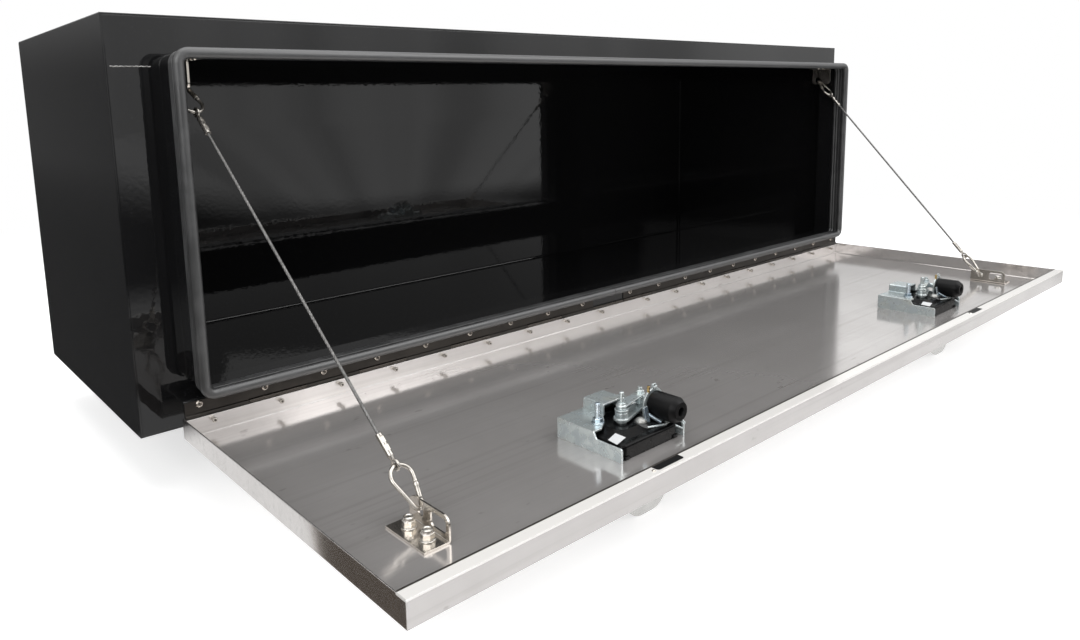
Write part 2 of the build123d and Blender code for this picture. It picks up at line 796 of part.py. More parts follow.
# Stays: hooks with gates, crimped eyes and the rope in its two halves
top_hook, top_plane, top_gate_ends = snap_hook(stay_top, stay_dir)
low_hook, low_plane, low_gate_ends = snap_hook(stay_low, stay_dir * -1)
top_sleeve, rope_start = ferrule(top_eye, stay_dir)
low_sleeve, rope_end = ferrule(low_eye, stay_dir * -1)
save_mirrored(top_hook, "snap_top")
save_mirrored(low_hook, "snap_low")
save_mirrored(snap_gate(top_plane, top_gate_ends), "snap_gate_top")
save_mirrored(snap_gate(low_plane, low_gate_ends), "snap_gate_low")
save_mirrored(top_sleeve, "ferrule_top")
save_mirrored(low_sleeve, "ferrule_low")
save_mirrored(rope(rope_start, fold_point), "cable_upper")
save_mirrored(rope(fold_point, rope_end), "cable_lower")

# Latch housing: folded zinc cover with a raised channel, open at the front
with BuildPart() as housing:
    with BuildSketch(Plane.YZ.offset(housing_left)) as wall_outline:
        with BuildLine():
            Polyline(
                (housing_back, 0),
                (housing_back, housing_rise),
                (-housing_step_start, housing_rise),
                (-housing_step_start - housing_step_length, housing_low_rise),
                (-housing_front, housing_low_rise),
                (-housing_front, 0),
                close=True,
            )
        make_face()
        step_corners = wall_outline.vertices().filter_by_position(
            Axis.X, -housing_front, -housing_step_start
        )
        fillet(step_corners.filter_by_position(Axis.Y, housing_low_rise, housing_rise), housing_fold)
    extrude(amount=latch_sheet)
    with BuildSketch(Plane.XY.offset(housing_rise - latch_sheet)):
        with BuildLine():
            Polyline(
                (housing_left, housing_back),
                (channel_left, housing_back),
                (channel_left, channel_front),
                (channel_left - cover_edge_drop, channel_front - cover_edge_drop),
                (housing_left + cover_edge_drop, -housing_step_start),
                (housing_left, -housing_step_start),
                close=True,
            )
        make_face()
    extrude(amount=latch_sheet)
    fill(
        (housing_left, housing_right),
        (housing_back - latch_sheet, housing_back),
        (0, housing_rise),
    )
    fill(
        (channel_right, housing_right),
        (channel_front, housing_back),
        (housing_rise - latch_sheet, housing_rise),
    )
    with BuildSketch(Plane.XZ.offset(-housing_back)):
        with BuildLine():
            FilletPolyline(
                (channel_left - latch_sheet, housing_rise - latch_sheet / 2),
                (channel_left + latch_sheet / 2, housing_rise - latch_sheet / 2),
                (channel_left + latch_sheet / 2, channel_rise - latch_sheet / 2),
                (channel_right - latch_sheet / 2, channel_rise - latch_sheet / 2),
                (channel_right - latch_sheet / 2, housing_rise - latch_sheet / 2),
                (channel_right + latch_sheet, housing_rise - latch_sheet / 2),
                radius=latch_sheet,
            )
        trace(line_width=latch_sheet)
    extrude(amount=housing_back - channel_front)
    fill(
        (channel_left, channel_right),
        (housing_back - latch_sheet, housing_back),
        (housing_rise - latch_sheet, channel_rise - latch_sheet / 2),
    )
    fill(
        (housing_right - latch_sheet, housing_right),
        (channel_front, housing_back),
        (0, housing_rise),
    )
    with BuildSketch(Plane.YZ.offset(housing_right - latch_sheet)) as side_outline:
        with BuildLine():
            Polyline(
                (channel_front + latch_sheet, 0),
                (channel_front + latch_sheet, housing_rise),
                (channel_front, housing_rise),
                (side_wall_back, side_wall_rise),
                (-housing_front, side_wall_rise),
                (-housing_front, 0),
                close=True,
            )
        make_face()
        fillet(side_outline.vertices().group_by(Axis.X)[0].sort_by(Axis.Y)[-1], housing_fold)
    extrude(amount=latch_sheet)
    with BuildSketch(Plane.XY.offset(housing_rise - latch_sheet)):
        with Locations((stud_x, stud_y)):
            Circle(screw_diameter / 2 + screw_gap)
    extrude(amount=latch_sheet, mode=Mode.SUBTRACT)
save_on_latches(housing.part, "latch_housing")

# Cup: black moulded pocket behind the handle, domed where the lever turns
cup_y = (cup_back + cup_front) / 2
cup_width = cup_right - cup_left
cup_length = cup_back - cup_front
with BuildPart() as cup:
    with BuildSketch(Plane.XY.offset(-pan_sheet)):
        with Locations((cup_x, cup_y)):
            RectangleRounded(cup_width, cup_length, cup_corner)
    extrude(amount=pan_sheet + cup_rise)
    fillet(cup.faces().sort_by(Axis.Z)[-1].edges(), cup_rim_fillet)
    with BuildSketch(Plane.XY.offset(cup_rise)):
        with Locations((cup_x, cup_y)):
            RectangleRounded(
                cup_width - 2 * dome_base_inset, cup_length - 2 * dome_base_inset, dome_corner
            )
    with BuildSketch(Plane.XY.offset(dome_rise)):
        with Locations((cup_x, cup_y)):
            RectangleRounded(
                cup_width - 2 * dome_top_inset, cup_length - 2 * dome_top_inset, dome_corner
            )
    loft()
    with BuildSketch(Plane.XY.offset(-pan_sheet)):
        with Locations((cup_x, cup_y)):
            RectangleRounded(
                cup_width - 2 * cup_wall, cup_length - 2 * cup_wall, cup_corner - cup_wall
            )
    extrude(amount=pan_sheet + cup_rise - cup_wall, mode=Mode.SUBTRACT)
    with BuildSketch(Plane.XY.offset(-pan_sheet)):
        with Locations((0, 0)):
            Circle(drilled_pin_diameter / 2 + running_gap)
    extrude(amount=dome_rise + pan_sheet, mode=Mode.SUBTRACT)
save_on_latches(cup.part, "latch_cup")

# Bezel: plate round the pocket on the outside of the door, with cheeks for the handle pin
pivot_y = cup_front + cup_wall + handle_wall_gap + handle_knuckle / 2
bezel_base_z = -pan_sheet - bezel_sheet
cheek_outer = cup_width / 2 - cup_wall - cheek_inset
with BuildPart() as bezel:
    with BuildSketch(Plane.XY.offset(bezel_base_z)):
        with Locations((cup_x, cup_y)):
            RectangleRounded(
                cup_width + 2 * bezel_margin, cup_length + 2 * bezel_margin, bezel_corner
            )
    extrude(amount=bezel_sheet)
    chamfer(bezel.faces().sort_by(Axis.Z)[0].edges(), bezel_sheet / 3)
    with BuildSketch(Plane.XY.offset(bezel_base_z)):
        with Locations((cup_x, cup_y)):
            RectangleRounded(
                cup_width - 2 * cup_wall, cup_length - 2 * cup_wall, cup_corner - cup_wall
            )
    extrude(amount=bezel_sheet, mode=Mode.SUBTRACT)
    cheek_y = (pivot_y - cheek_length / 2, pivot_y + cheek_length / 2)
    for start in (-cheek_outer, cheek_outer - cheek_width):
        fill((cup_x + start, cup_x + start + cheek_width), cheek_y, (bezel_base_z, cheek_rise))
    fill(
        (cup_x - cup_width / 2, cup_x + cup_width / 2),
        (cup_front, cheek_y[1]),
        (bezel_base_z, -pan_sheet),
    )
    fill(
        (cup_x - cheek_outer + cheek_width, cup_x + cheek_outer - cheek_width),
        (cup_front + cup_wall, cheek_y[1]),
        (bezel_base_z, -pan_sheet),
        mode=Mode.SUBTRACT,
    )
    with BuildSketch(Plane.YZ.offset(cup_x - cheek_outer)):
        with Locations((pivot_y, -handle_pivot_drop)):
            Circle(handle_pin_diameter / 2 + running_gap)
    extrude(amount=2 * cheek_outer, mode=Mode.SUBTRACT)
save_on_latches(bezel.part, "latch_bezel")

# Folding handle, hanging down at rest
with BuildPart() as handle:
    with BuildSketch(Plane.XZ.offset(-pivot_y - handle_sheet / 2)) as handle_outline:
        with Locations((cup_x, -handle_pivot_drop - handle_length / 2)):
            Rectangle(handle_width, handle_length)
        fillet(handle_outline.vertices().group_by(Axis.Y)[0], handle_corner)
        with Locations((cup_x, -handle_pivot_drop - finger_hole_drop)):
            RectangleRounded(
                finger_hole_width, finger_hole_height, finger_hole_height / 3, mode=Mode.SUBTRACT
            )
    extrude(amount=handle_sheet)
    fillet(handle.edges().group_by(Axis.Z)[0], handle_sheet / 4)
    with BuildSketch(Plane.YZ.offset(cup_x - handle_width / 2)):
        with Locations((pivot_y, -handle_pivot_drop)):
            Circle(handle_knuckle / 2)
    extrude(amount=handle_width)
    with BuildSketch(Plane.YZ.offset(cup_x - handle_width / 2)):
        with Locations((pivot_y, -handle_pivot_drop)):
            Circle(handle_pin_diameter / 2 + running_gap)
    extrude(amount=handle_width, mode=Mode.SUBTRACT)
save_on_latches(handle.part, "latch_handle")

with BuildPart() as handle_pin:
    with BuildSketch(Plane.YZ.offset(cup_x - cheek_outer)):
        with Locations((pivot_y, -handle_pivot_drop)):
            Circle(handle_pin_diameter / 2)
    extrude(amount=2 * cheek_outer)
save_latch_group(handle_pin.part, "handle_pins")

# Lever: flat arm with a boss, slotted where it drives the bolt's link
lever_base_z = dome_rise + lever_clear
link_reach_open = hypot(link_x, link_y)
slot_travel = link_reach_open - link_x
link_angle = degrees(atan2(link_y, link_x))
slot_reach = link_x + slot_travel / 2
with BuildPart() as lever:
    with BuildSketch(Plane.XY.offset(lever_base_z)):
        Circle(lever_end_radius)
        with Locations((link_x, link_y)):
            Circle(lever_tip_radius)
        make_hull()
    extrude(amount=lever_sheet)
    with BuildSketch(Plane.XY.offset(lever_base_z)):
        Circle(boss_diameter / 2)
    extrude(amount=boss_rise - lever_base_z)
    with BuildSketch(Plane.XY.offset(lever_base_z)):
        Circle(drilled_pin_diameter / 2 + running_gap)
    extrude(amount=boss_rise - lever_base_z, mode=Mode.SUBTRACT)
    with BuildSketch(Plane.XY.offset(lever_base_z)):
        with Locations((
            slot_reach * cos(radians(link_angle)),
            slot_reach * sin(radians(link_angle)),
        )):
            SlotCenterToCenter(
                slot_travel + link_gap,
                drilled_pin_diameter + 2 * link_gap,
                rotation=link_angle,
            )
    extrude(amount=lever_sheet, mode=Mode.SUBTRACT)
save_on_latches(lever.part, "latch_lever")

# Pivot pins with a foot on the dome, drilled across near the top
with BuildPart() as pivot_pin:
    with BuildSketch(Plane.XY.offset(dome_rise - cup_wall)):
        Circle(drilled_pin_diameter / 2)
    extrude(amount=drilled_pin_rise - dome_rise + cup_wall)
    with BuildSketch(Plane.XY.offset(dome_rise)):
        Circle(drilled_pin_foot / 2)
    extrude(amount=lever_clear - link_gap)
    chamfer(pivot_pin.faces().sort_by(Axis.Z)[-1].edges(), drilled_pin_diameter / 8)
    with BuildSketch(Plane.XZ.offset(-drilled_pin_diameter)):
        with Locations((0, drilled_pin_rise - drilled_pin_diameter)):
            Circle(drilled_pin_hole / 2)
    extrude(amount=2 * drilled_pin_diameter, mode=Mode.SUBTRACT)
save_latch_group(pivot_pin.part, "pivot_pins")

# Bolt: stem through the guide, tail eye and the upright link pin with its nut
with BuildPart() as bolt:
    with BuildSketch(Plane.XZ.offset(-link_y)):
        with Locations((link_x, bolt_axis_rise)):
            Circle(bolt_diameter / 2)
    extrude(amount=link_y + roller_front - roller_hole_depth)
    with BuildSketch(Plane.XY.offset(bolt_axis_rise - bolt_tail_height / 2)):
        with Locations((link_x, link_y)):
            Circle(bolt_tail_diameter / 2)
    extrude(amount=bolt_tail_height)
    with BuildSketch(Plane.XY.offset(lever_base_z - link_gap)):
        with Locations((link_x, link_y)):
            Circle(drilled_pin_diameter / 2)
    extrude(amount=link_rise - lever_base_z + link_gap)
    with BuildSketch(Plane.XY.offset(bolt_axis_rise + bolt_tail_height / 2)):
        with Locations((link_x, link_y)):
            RegularPolygon(nut_flats / 2, 6, major_radius=False)
    extrude(amount=nut_height)
save_on_latches(bolt.part, "latch_bolt")

# Rubber roller on the bolt's front end
with BuildPart() as roller:
    with BuildSketch(Plane.XZ.offset(roller_back)):
        with Locations((link_x, bolt_axis_rise)):
            Circle(roller_diameter / 2)
    extrude(amount=roller_front - roller_back)
    chamfer(roller.faces().sort_by(Axis.Y)[0].edges(), roller_chamfer)
    with BuildSketch(Plane.XZ.offset(roller_back)):
        with Locations((link_x, bolt_axis_rise)):
            Circle(bolt_diameter / 2 + running_gap)
    extrude(amount=roller_front - roller_back, mode=Mode.SUBTRACT)
    with BuildSketch(Plane.XZ.offset(roller_front - roller_hole_depth)):
        with Locations((link_x, bolt_axis_rise)):
            Circle(roller_hole_diameter / 2)
    extrude(amount=roller_hole_depth, mode=Mode.SUBTRACT)
save_on_latches(roller.part, "latch_roller")

# Guide: arched plate that stands on the cup and carries the bolt's stem
guide_y = roller_back - guide_gap - guide_sheet
guide_foot_z = dome_rise + guide_foot_clear
with BuildPart() as guide:
    with BuildSketch(Plane.XZ.offset(guide_y)):
        with Locations((link_x, bolt_axis_rise)):
            Circle(guide_radius)
        with Locations((link_x, bolt_axis_rise)):
            Rectangle(2 * guide_radius, bolt_axis_rise - guide_foot_z, align=(Align.CENTER, Align.MAX))
        with Locations((link_x, guide_foot_z)):
            Rectangle(
                2 * guide_radius, guide_radius, align=(Align.CENTER, Align.MAX), mode=Mode.SUBTRACT
            )
        with Locations((link_x, bolt_axis_rise)):
            Circle(bolt_diameter / 2 + link_gap, mode=Mode.SUBTRACT)
    extrude(amount=guide_sheet)
    fill(
        (cup_right + guide_foot_clear, housing_right - latch_sheet - guide_foot_clear),
        (-guide_y - guide_sheet, -guide_y),
        (0, guide_foot_z),
    )
save_on_latches(guide.part, "latch_guide")

# Studs and nuts on the housing and on top of the guide
guide_top_z = bolt_axis_rise + guide_radius
with BuildPart() as studs:
    with BuildSketch(Plane.XY.offset(housing_rise - latch_sheet)):
        with Locations((stud_x, stud_y)):
            Circle(screw_diameter / 2)
    extrude(amount=stud_tip_rise - housing_rise + latch_sheet)
save_latch_group(studs.part, "latch_studs")

with BuildPart() as nuts:
    with BuildSketch(Plane.XY.offset(housing_rise)):
        with Locations((stud_x, stud_y)):
            RegularPolygon(nut_flats / 2, 6, major_radius=False)
            Circle(screw_diameter / 2 + nut_gap, mode=Mode.SUBTRACT)
    extrude(amount=nut_height)
    with BuildSketch(Plane.XY.offset(guide_top_z)):
        with Locations((link_x + guide_stud_x_offset / 2, -guide_y - guide_sheet / 2)):
            RegularPolygon(small_nut_flats / 2, 6, major_radius=False)
    extrude(amount=small_nut_height)
save_latch_group(nuts.part, "latch_nuts")

# Brass pins beside the nuts on top of the guides
with BuildPart() as brass_pins:
    pin_drop = guide_radius - sqrt(guide_radius ** 2 - brass_x_offset ** 2)
    with BuildSketch(Plane.XY.offset(guide_top_z - pin_drop - guide_sheet)):
        with Locations((link_x + brass_x_offset, -guide_y - guide_sheet / 2)):
            Circle(small_stud_diameter / 2)
    extrude(amount=small_stud_length + guide_sheet)
save_latch_group(brass_pins.part, "brass_pins")
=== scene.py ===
import logging
from dataclasses import dataclass
from enum import Enum
from math import asin, atan2, cos, pi, radians, sin
from typing import Sequence, Union

import bpy
from mathutils import Matrix, Vector


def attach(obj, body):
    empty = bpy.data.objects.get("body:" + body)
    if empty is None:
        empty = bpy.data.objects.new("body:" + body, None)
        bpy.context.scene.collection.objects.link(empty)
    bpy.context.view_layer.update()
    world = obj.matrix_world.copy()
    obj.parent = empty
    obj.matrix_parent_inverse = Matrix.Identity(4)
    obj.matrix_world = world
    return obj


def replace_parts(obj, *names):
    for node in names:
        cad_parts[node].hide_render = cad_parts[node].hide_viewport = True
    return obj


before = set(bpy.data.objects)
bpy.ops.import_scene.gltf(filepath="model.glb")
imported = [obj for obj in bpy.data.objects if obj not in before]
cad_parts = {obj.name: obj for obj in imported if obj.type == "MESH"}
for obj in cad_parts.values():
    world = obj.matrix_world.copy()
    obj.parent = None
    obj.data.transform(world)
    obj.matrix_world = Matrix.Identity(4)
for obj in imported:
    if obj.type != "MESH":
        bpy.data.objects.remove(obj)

log = logging.getLogger("tool_box")
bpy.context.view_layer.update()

Pair = tuple[float, float]
Point = tuple[float, float, float]
Colour = tuple[float, float, float]
Outline = Sequence[Pair]
Route = Sequence[Point]
Number = Union[int, float, "Reading"]

WHITE: Colour = (1.0, 1.0, 1.0)


def mm(*values: float) -> Vector:
    """Return three millimetre values as a vector in metres.

    Args:
        values: x, y and z in millimetres.

    Returns:
        The same point in metres.
    """
    return Vector(values) / 1000


def linked(name: str, data: bpy.types.ID) -> bpy.types.Object:
    """Make an object and put it in the scene.

    Args:
        name: its name.
        data: its mesh, camera or lamp.

    Returns:
        The object.
    """
    made = bpy.data.objects.new(name, data)
    bpy.context.scene.collection.objects.link(made)
    return made


class Side(Enum):
    """The two ends of the box, as seen from the front."""

    LEFT = "left"
    RIGHT = "right"

    @property
    def sign(self) -> int:
        """Return -1 at the left end and 1 at the right end."""
        return -1 if self is Side.LEFT else 1


class Reading:
    """A shader socket that adds Math nodes when it is used in an expression."""

    def __init__(self, recipe: "Recipe", socket: bpy.types.NodeSocket) -> None:
        """Keep the recipe that the socket belongs to."""
        self.recipe = recipe
        self.socket = socket

    def _with(self, operation: str, first: Number, second: Number) -> "Reading":
        """Add one Math node.

        Args:
            operation: the Math node's operation.
            first: its first value.
            second: its second value.

        Returns:
            The node's value.
        """
        return self.recipe.node("ShaderNodeMath", {"operation": operation}, {0: first, 1: second})

    def __add__(self, other: Number) -> "Reading":
        """Return self + other."""
        return self._with("ADD", self, other)

    __radd__ = __add__

    def __mul__(self, other: Number) -> "Reading":
        """Return self * other."""
        return self._with("MULTIPLY", self, other)

    __rmul__ = __mul__

    def __sub__(self, other: Number) -> "Reading":
        """Return self - other."""
        return self._with("SUBTRACT", self, other)

    def __rsub__(self, other: Number) -> "Reading":
        """Return other - self."""
        return self._with("SUBTRACT", other, self)

    def size(self) -> "Reading":
        """Return the value without its sign."""
        return self._with("ABSOLUTE", self, 0.0)

    def band(self, low: float, high: float) -> "Reading":
        """Rise smoothly from 0 at low to 1 at high.

        Args:
            low: the value that becomes 0.
            high: the value that becomes 1.

        Returns:
            The smooth step.
        """
        settings = {"interpolation_type": "SMOOTHSTEP"}
        return self.recipe.node("ShaderNodeMapRange", settings, {"Value": self, "From Min": low, "From Max": high})


class Recipe:
    """The node tree of one material or of the world."""

    def __init__(self, tree: bpy.types.NodeTree) -> None:
        """Empty the tree."""
        self.tree = tree
        tree.nodes.clear()

    def node(
        self,
        kind: str,
        settings: dict | None = None,
        sockets: dict | None = None,
        output: int | str = 0,
    ) -> Reading:
        """Add one node.

        Args:
            kind: the node's type.
            settings: its properties, set first; "stops" are a ramp's positions and colours.
            sockets: values, colours or readings by input name or number.
            output: which output to return.

        Returns:
            The chosen output.
        """
        made = self.tree.nodes.new(kind)
        for name, value in (settings or {}).items():
            if name == "stops":
                ramp = made.color_ramp
                while len(ramp.elements) < len(value):
                    ramp.elements.new(1)
                for element, (place, colour) in zip(ramp.elements, value):
                    element.position = place
                    element.color = (*colour, 1)
            else:
                setattr(made, name, value)
        for name, value in (sockets or {}).items():
            if isinstance(value, Reading):
                self.tree.links.new(value.socket, made.inputs[name])
            elif isinstance(value, tuple) and made.inputs[name].type == "RGBA":
                made.inputs[name].default_value = (*value, 1)
            else:
                made.inputs[name].default_value = value
        return Reading(self, made.outputs[output] if made.outputs else None)

    def place(self, stretch: Point = (1, 1, 1)) -> Reading:
        """Return the object's own coordinates in metres.

        Args:
            stretch: factors on x, y and z.

        Returns:
            The vector.
        """
        own = self.node("ShaderNodeTexCoord", output="Object")
        if stretch == (1, 1, 1):
            return own
        return self.node("ShaderNodeMapping", {}, {"Vector": own, "Scale": stretch})

    def axes(self, vector: Reading | None = None) -> tuple[Reading, Reading, Reading]:
        """Split a vector into its three parts.

        Args:
            vector: the vector, the object's own coordinates where it is left out.

        Returns:
            x, y and z.
        """
        parts = self.node("ShaderNodeSeparateXYZ", {}, {0: vector or self.place()}, output="X")
        outputs = parts.socket.node.outputs
        return parts, Reading(self, outputs["Y"]), Reading(self, outputs["Z"])

    def round_edges(self, radius: float) -> Reading:
        """Return the normal with every edge rounded.

        Args:
            radius: the rounding in metres.

        Returns:
            The normal.
        """
        return self.node("ShaderNodeBevel", {"samples": 4}, {"Radius": radius})

    def rim(self, radius: float) -> Reading:
        """Return 1 close to a sharp edge and 0 on plain faces.

        Args:
            radius: how far the edge reaches in metres.

        Returns:
            The share.
        """
        flat = self.node("ShaderNodeNewGeometry", output="Normal")
        normals = {0: self.round_edges(radius), 1: flat}
        agreement = self.node("ShaderNodeVectorMath", {"operation": "DOT_PRODUCT"}, normals, output="Value")
        return 1 - agreement.band(0.82, 0.99)

    def noise(self, size: float, detail: float = 2, stretch: Point = (1, 1, 1), rough: float = 0.5) -> Reading:
        """Return cloud noise from 0 to 1.

        Args:
            size: the size of its features in metres.
            detail: how many finer layers it has.
            stretch: factors on the coordinates, larger for finer grain.
            rough: how strong the finer layers are.

        Returns:
            The noise.
        """
        values = {"Vector": self.place(stretch), "Scale": 1 / size, "Detail": detail, "Roughness": rough}
        return self.node("ShaderNodeTexNoise", {}, values)

    def blend(self, share: Number, first: Colour | Reading, second: Colour | Reading) -> Reading:
        """Mix two colours.

        Args:
            share: 0 for the first and 1 for the second.
            first: a colour.
            second: a colour.

        Returns:
            The mixed colour.
        """
        return self.node("ShaderNodeMix", {"data_type": "RGBA"}, {0: share, 6: first, 7: second}, output=2)

    def bump(self, height: Number, distance: float, strength: float = 1, after: Reading | None = None) -> Reading:
        """Turn a height into a normal.

        Args:
            height: the height from 0 to 1.
            distance: the depth in metres of a full step.
            strength: how much of it shows.
            after: a normal that this one is added to.

        Returns:
            The normal.
        """
        values = {"Height": height, "Distance": distance, "Strength": strength}
        if after:
            values["Normal"] = after
        return self.node("ShaderNodeBump", {}, values)

    def surface(self, **sockets: object) -> None:
        """Make the principled surface from its sockets, with _ for each space in a name."""
        values = {name.replace("_", " "): value for name, value in sockets.items()}
        shader = self.node("ShaderNodeBsdfPrincipled", {}, values)
        self.node("ShaderNodeOutputMaterial", {}, {"Surface": shader})


@dataclass(frozen=True)
class Finish:
    """One finish of the tool box; each kind says how it is mixed."""

    name: str

    def mix(self, recipe: Recipe) -> None:
        """Fill in the material's nodes."""
        raise NotImplementedError

    def material(self) -> bpy.types.Material:
        """Return the material, made the first time that it is asked for."""
        found = bpy.data.materials.get(self.name)
        if found is None:
            found = bpy.data.materials.new(self.name)
            found.use_nodes = True
            self.mix(Recipe(found.node_tree))
        return found

    def dress(self, *nodes: str) -> None:
        """Put the finish on CAD nodes.

        Args:
            nodes: their names.
        """
        for name in nodes:
            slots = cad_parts[name].data.materials
            slots.clear()
            slots.append(self.material())


@dataclass(frozen=True)
class PowderCoat(Finish):
    """Glossy black powder coat with orange peel and a little dust."""

    colour: Colour = (0.008, 0.008, 0.0085)
    gloss: float = 0.022
    haze: float = 0.025
    peel_size: float = 0.0055
    peel_depth: float = 0.00003
    edge: float = 0.0016
    dust_size: float = 0.0011
    dust_colour: Colour = (0.07, 0.07, 0.075)

    def mix(self, recipe: Recipe) -> None:
        """Fill in the material's nodes."""
        peel = recipe.noise(self.peel_size, detail=1, rough=0.35)
        cloud = recipe.noise(0.16, detail=3).band(0.35, 0.7)
        dust = recipe.noise(self.dust_size, detail=0).band(0.8, 0.83)
        recipe.surface(
            Base_Color=recipe.blend(dust, self.colour, self.dust_colour),
            Roughness=self.gloss + self.haze * cloud + dust * 0.3,
            IOR=1.5,
            Normal=recipe.bump(peel, self.peel_depth, after=recipe.round_edges(self.edge)),
        )


@dataclass(frozen=True)
class RolledSteel(Finish):
    """Stainless or plated sheet: fine grain along x, rolled clouds and smudges."""

    light: Colour = (0.60, 0.59, 0.575)
    dark: Colour = (0.47, 0.46, 0.45)
    gloss: float = 0.2
    haze: float = 0.12
    cloud_size: float = 0.12
    grain: Point = (6, 700, 700)
    grain_depth: float = 0.00001
    metal: float = 1.0
    edge: float = 0.0005

    def colour(self, recipe: Recipe, share: Reading) -> Reading:
        """Return the colour between light and dark.

        Args:
            recipe: the material's nodes.
            share: 0 for the light colour and 1 for the dark one.

        Returns:
            The colour.
        """
        return recipe.blend(share, self.light, self.dark)

    def shine(self, recipe: Recipe) -> Number:
        """Return how metallic the surface is."""
        return self.metal

    def mix(self, recipe: Recipe) -> None:
        """Fill in the material's nodes."""
        grain = recipe.noise(1, detail=2, stretch=self.grain)
        cloud = recipe.noise(self.cloud_size, detail=4, rough=0.6).band(0.3, 0.72)
        wipe = recipe.noise(self.cloud_size * 2.2, detail=2, stretch=(1, 2.6, 1)).band(0.4, 0.65)
        recipe.surface(
            Base_Color=self.colour(recipe, cloud * 0.55 + grain * 0.45),
            Metallic=self.shine(recipe),
            Roughness=self.gloss + cloud * (self.haze * 0.5) + wipe * (self.haze * 0.3) + grain * (self.haze * 0.4),
            Normal=recipe.bump(grain, self.grain_depth, after=recipe.round_edges(self.edge)),
        )


@dataclass(frozen=True)
class PanSteel(RolledSteel):
    """The pan's brushed sheet: rolled scratches and specks, and a painted highlight on the lip, a near white colour
    standing in for its bright reflection.
    """

    lip_back: float = -0.668
    lip_low: float = -0.4346
    # painted highlight: near white colour on the lip in place of its bright reflection
    lip_highlight: Colour = (0.93, 0.91, 0.88)
    scratch_colour: Colour = (0.33, 0.31, 0.29)

    def lip(self, recipe: Recipe) -> Reading:
        """Return 1 on the lip that carries the painted highlight and 0 elsewhere."""
        _, y, z = recipe.axes()
        return (1 - y.band(self.lip_back, self.lip_back + 0.0004)) * z.band(self.lip_low, self.lip_low + 0.0006)

    def colour(self, recipe: Recipe, share: Reading) -> Reading:
        """Return the colour with scratches, specks and the painted highlight on the lip.

        Args:
            recipe: the material's nodes.
            share: 0 for the light colour and 1 for the dark one.

        Returns:
            The colour.
        """
        streaks = recipe.noise(1, detail=3, stretch=(1.7, 130, 130), rough=0.6).band(0.5, 0.72)
        specks = recipe.noise(0.011, detail=2, stretch=(0.5, 1, 1)).band(0.7, 0.78)
        plain = recipe.blend(share, self.light, self.dark)
        worn = recipe.blend(streaks * 0.2 + specks * 0.4, plain, self.scratch_colour)
        # painted highlight: the lip mask swaps the sheet's colour for near white
        return recipe.blend(self.lip(recipe), worn, self.lip_highlight)

    def shine(self, recipe: Recipe) -> Number:
        """Return how metallic the surface is, less on the lip so that its painted highlight shows, and full on the end
        flanges.
        """
        x, _, _ = recipe.axes()
        half = max(abs(corner[0]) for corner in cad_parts["door_pan"].bound_box)
        flank = x.size().band(half - 0.0012, half - 0.0006)
        return self.metal - self.lip(recipe) * 0.5 + flank * (0.97 - self.metal)


@dataclass(frozen=True)
class HingeSteel(RolledSteel):
    """A bright hinge leaf with painted shade near its barrel, darkening the gap between leaf and barrel."""

    barrel_y: float = -0.248
    barrel_z: float = -0.4327
    barrel_reach: float = 0.0034
    # painted shade: dark colour near the barrel where the gap falls in shadow
    barrel_shade: Colour = (0.06, 0.052, 0.045)

    def colour(self, recipe: Recipe, share: Reading) -> Reading:
        """Return the colour, darkened with painted shade near the barrel's axis.

        Args:
            recipe: the material's nodes.
            share: 0 for the light colour and 1 for the dark one.

        Returns:
            The colour.
        """
        _, y, z = recipe.axes()
        across, up = y - self.barrel_y, z - self.barrel_z
        # painted shade: darkens the leaf within barrel_reach of the barrel's axis
        near = 1 - (across * across + up * up).band(self.barrel_reach ** 2 * 0.8, self.barrel_reach ** 2)
        return recipe.blend(near, recipe.blend(share, self.light, self.dark), self.barrel_shade)


@dataclass(frozen=True)
class ZincPlate(Finish):
    """Bluish bright zinc plating with faint yellow clouds and a painted highlight along its sharp edges."""

    light: Colour = (0.62, 0.68, 0.68)
    dark: Colour = (0.50, 0.56, 0.58)
    tint: Colour = (0.62, 0.62, 0.55)
    # painted highlight: near white colour laid along sharp edges
    edge_highlight: Colour = (0.93, 0.95, 0.94)
    gloss: float = 0.2
    haze: float = 0.14
    metal: float = 0.6
    edge: float = 0.0012

    def mix(self, recipe: Recipe) -> None:
        """Fill in the material's nodes."""
        cloud = recipe.noise(0.011, detail=2, rough=0.5)
        stain = recipe.noise(0.03, detail=2).band(0.52, 0.72)
        plain = recipe.blend(cloud.band(0.32, 0.7), self.light, self.dark)
        pits = recipe.noise(0.003, detail=1)
        toned = recipe.blend(stain * 0.45, plain, self.tint)
        recipe.surface(
            # painted highlight: sharp edges lightened towards edge_highlight
            Base_Color=recipe.blend(recipe.rim(self.edge) * 0.8, toned, self.edge_highlight),
            Metallic=self.metal,
            Roughness=self.gloss + cloud.band(0.3, 0.7) * self.haze,
            Normal=recipe.bump(pits, 0.000003, after=recipe.round_edges(self.edge)),
        )


@dataclass(frozen=True)
class Moulded(Finish):
    """Rubber, pressed black steel or moulded plastic with a fine skin."""

    colour: Colour = (0.02, 0.02, 0.02)
    worn: Colour = (0.04, 0.04, 0.04)
    gloss: float = 0.45
    haze: float = 0.15
    skin_size: float = 0.0009
    skin_depth: float = 0.00005
    cloud_size: float = 0.03
    sheen: float = 0.5
    edge: float = 0.0006

    def mix(self, recipe: Recipe) -> None:
        """Fill in the material's nodes."""
        skin = recipe.noise(self.skin_size, detail=2)
        cloud = recipe.noise(self.cloud_size, detail=4, rough=0.6).band(0.35, 0.75)
        recipe.surface(
            Base_Color=recipe.blend(cloud, self.colour, self.worn),
            Specular_IOR_Level=self.sheen,
            Roughness=self.gloss + cloud * self.haze,
            Normal=recipe.bump(skin, self.skin_depth, after=recipe.round_edges(self.edge)),
        )


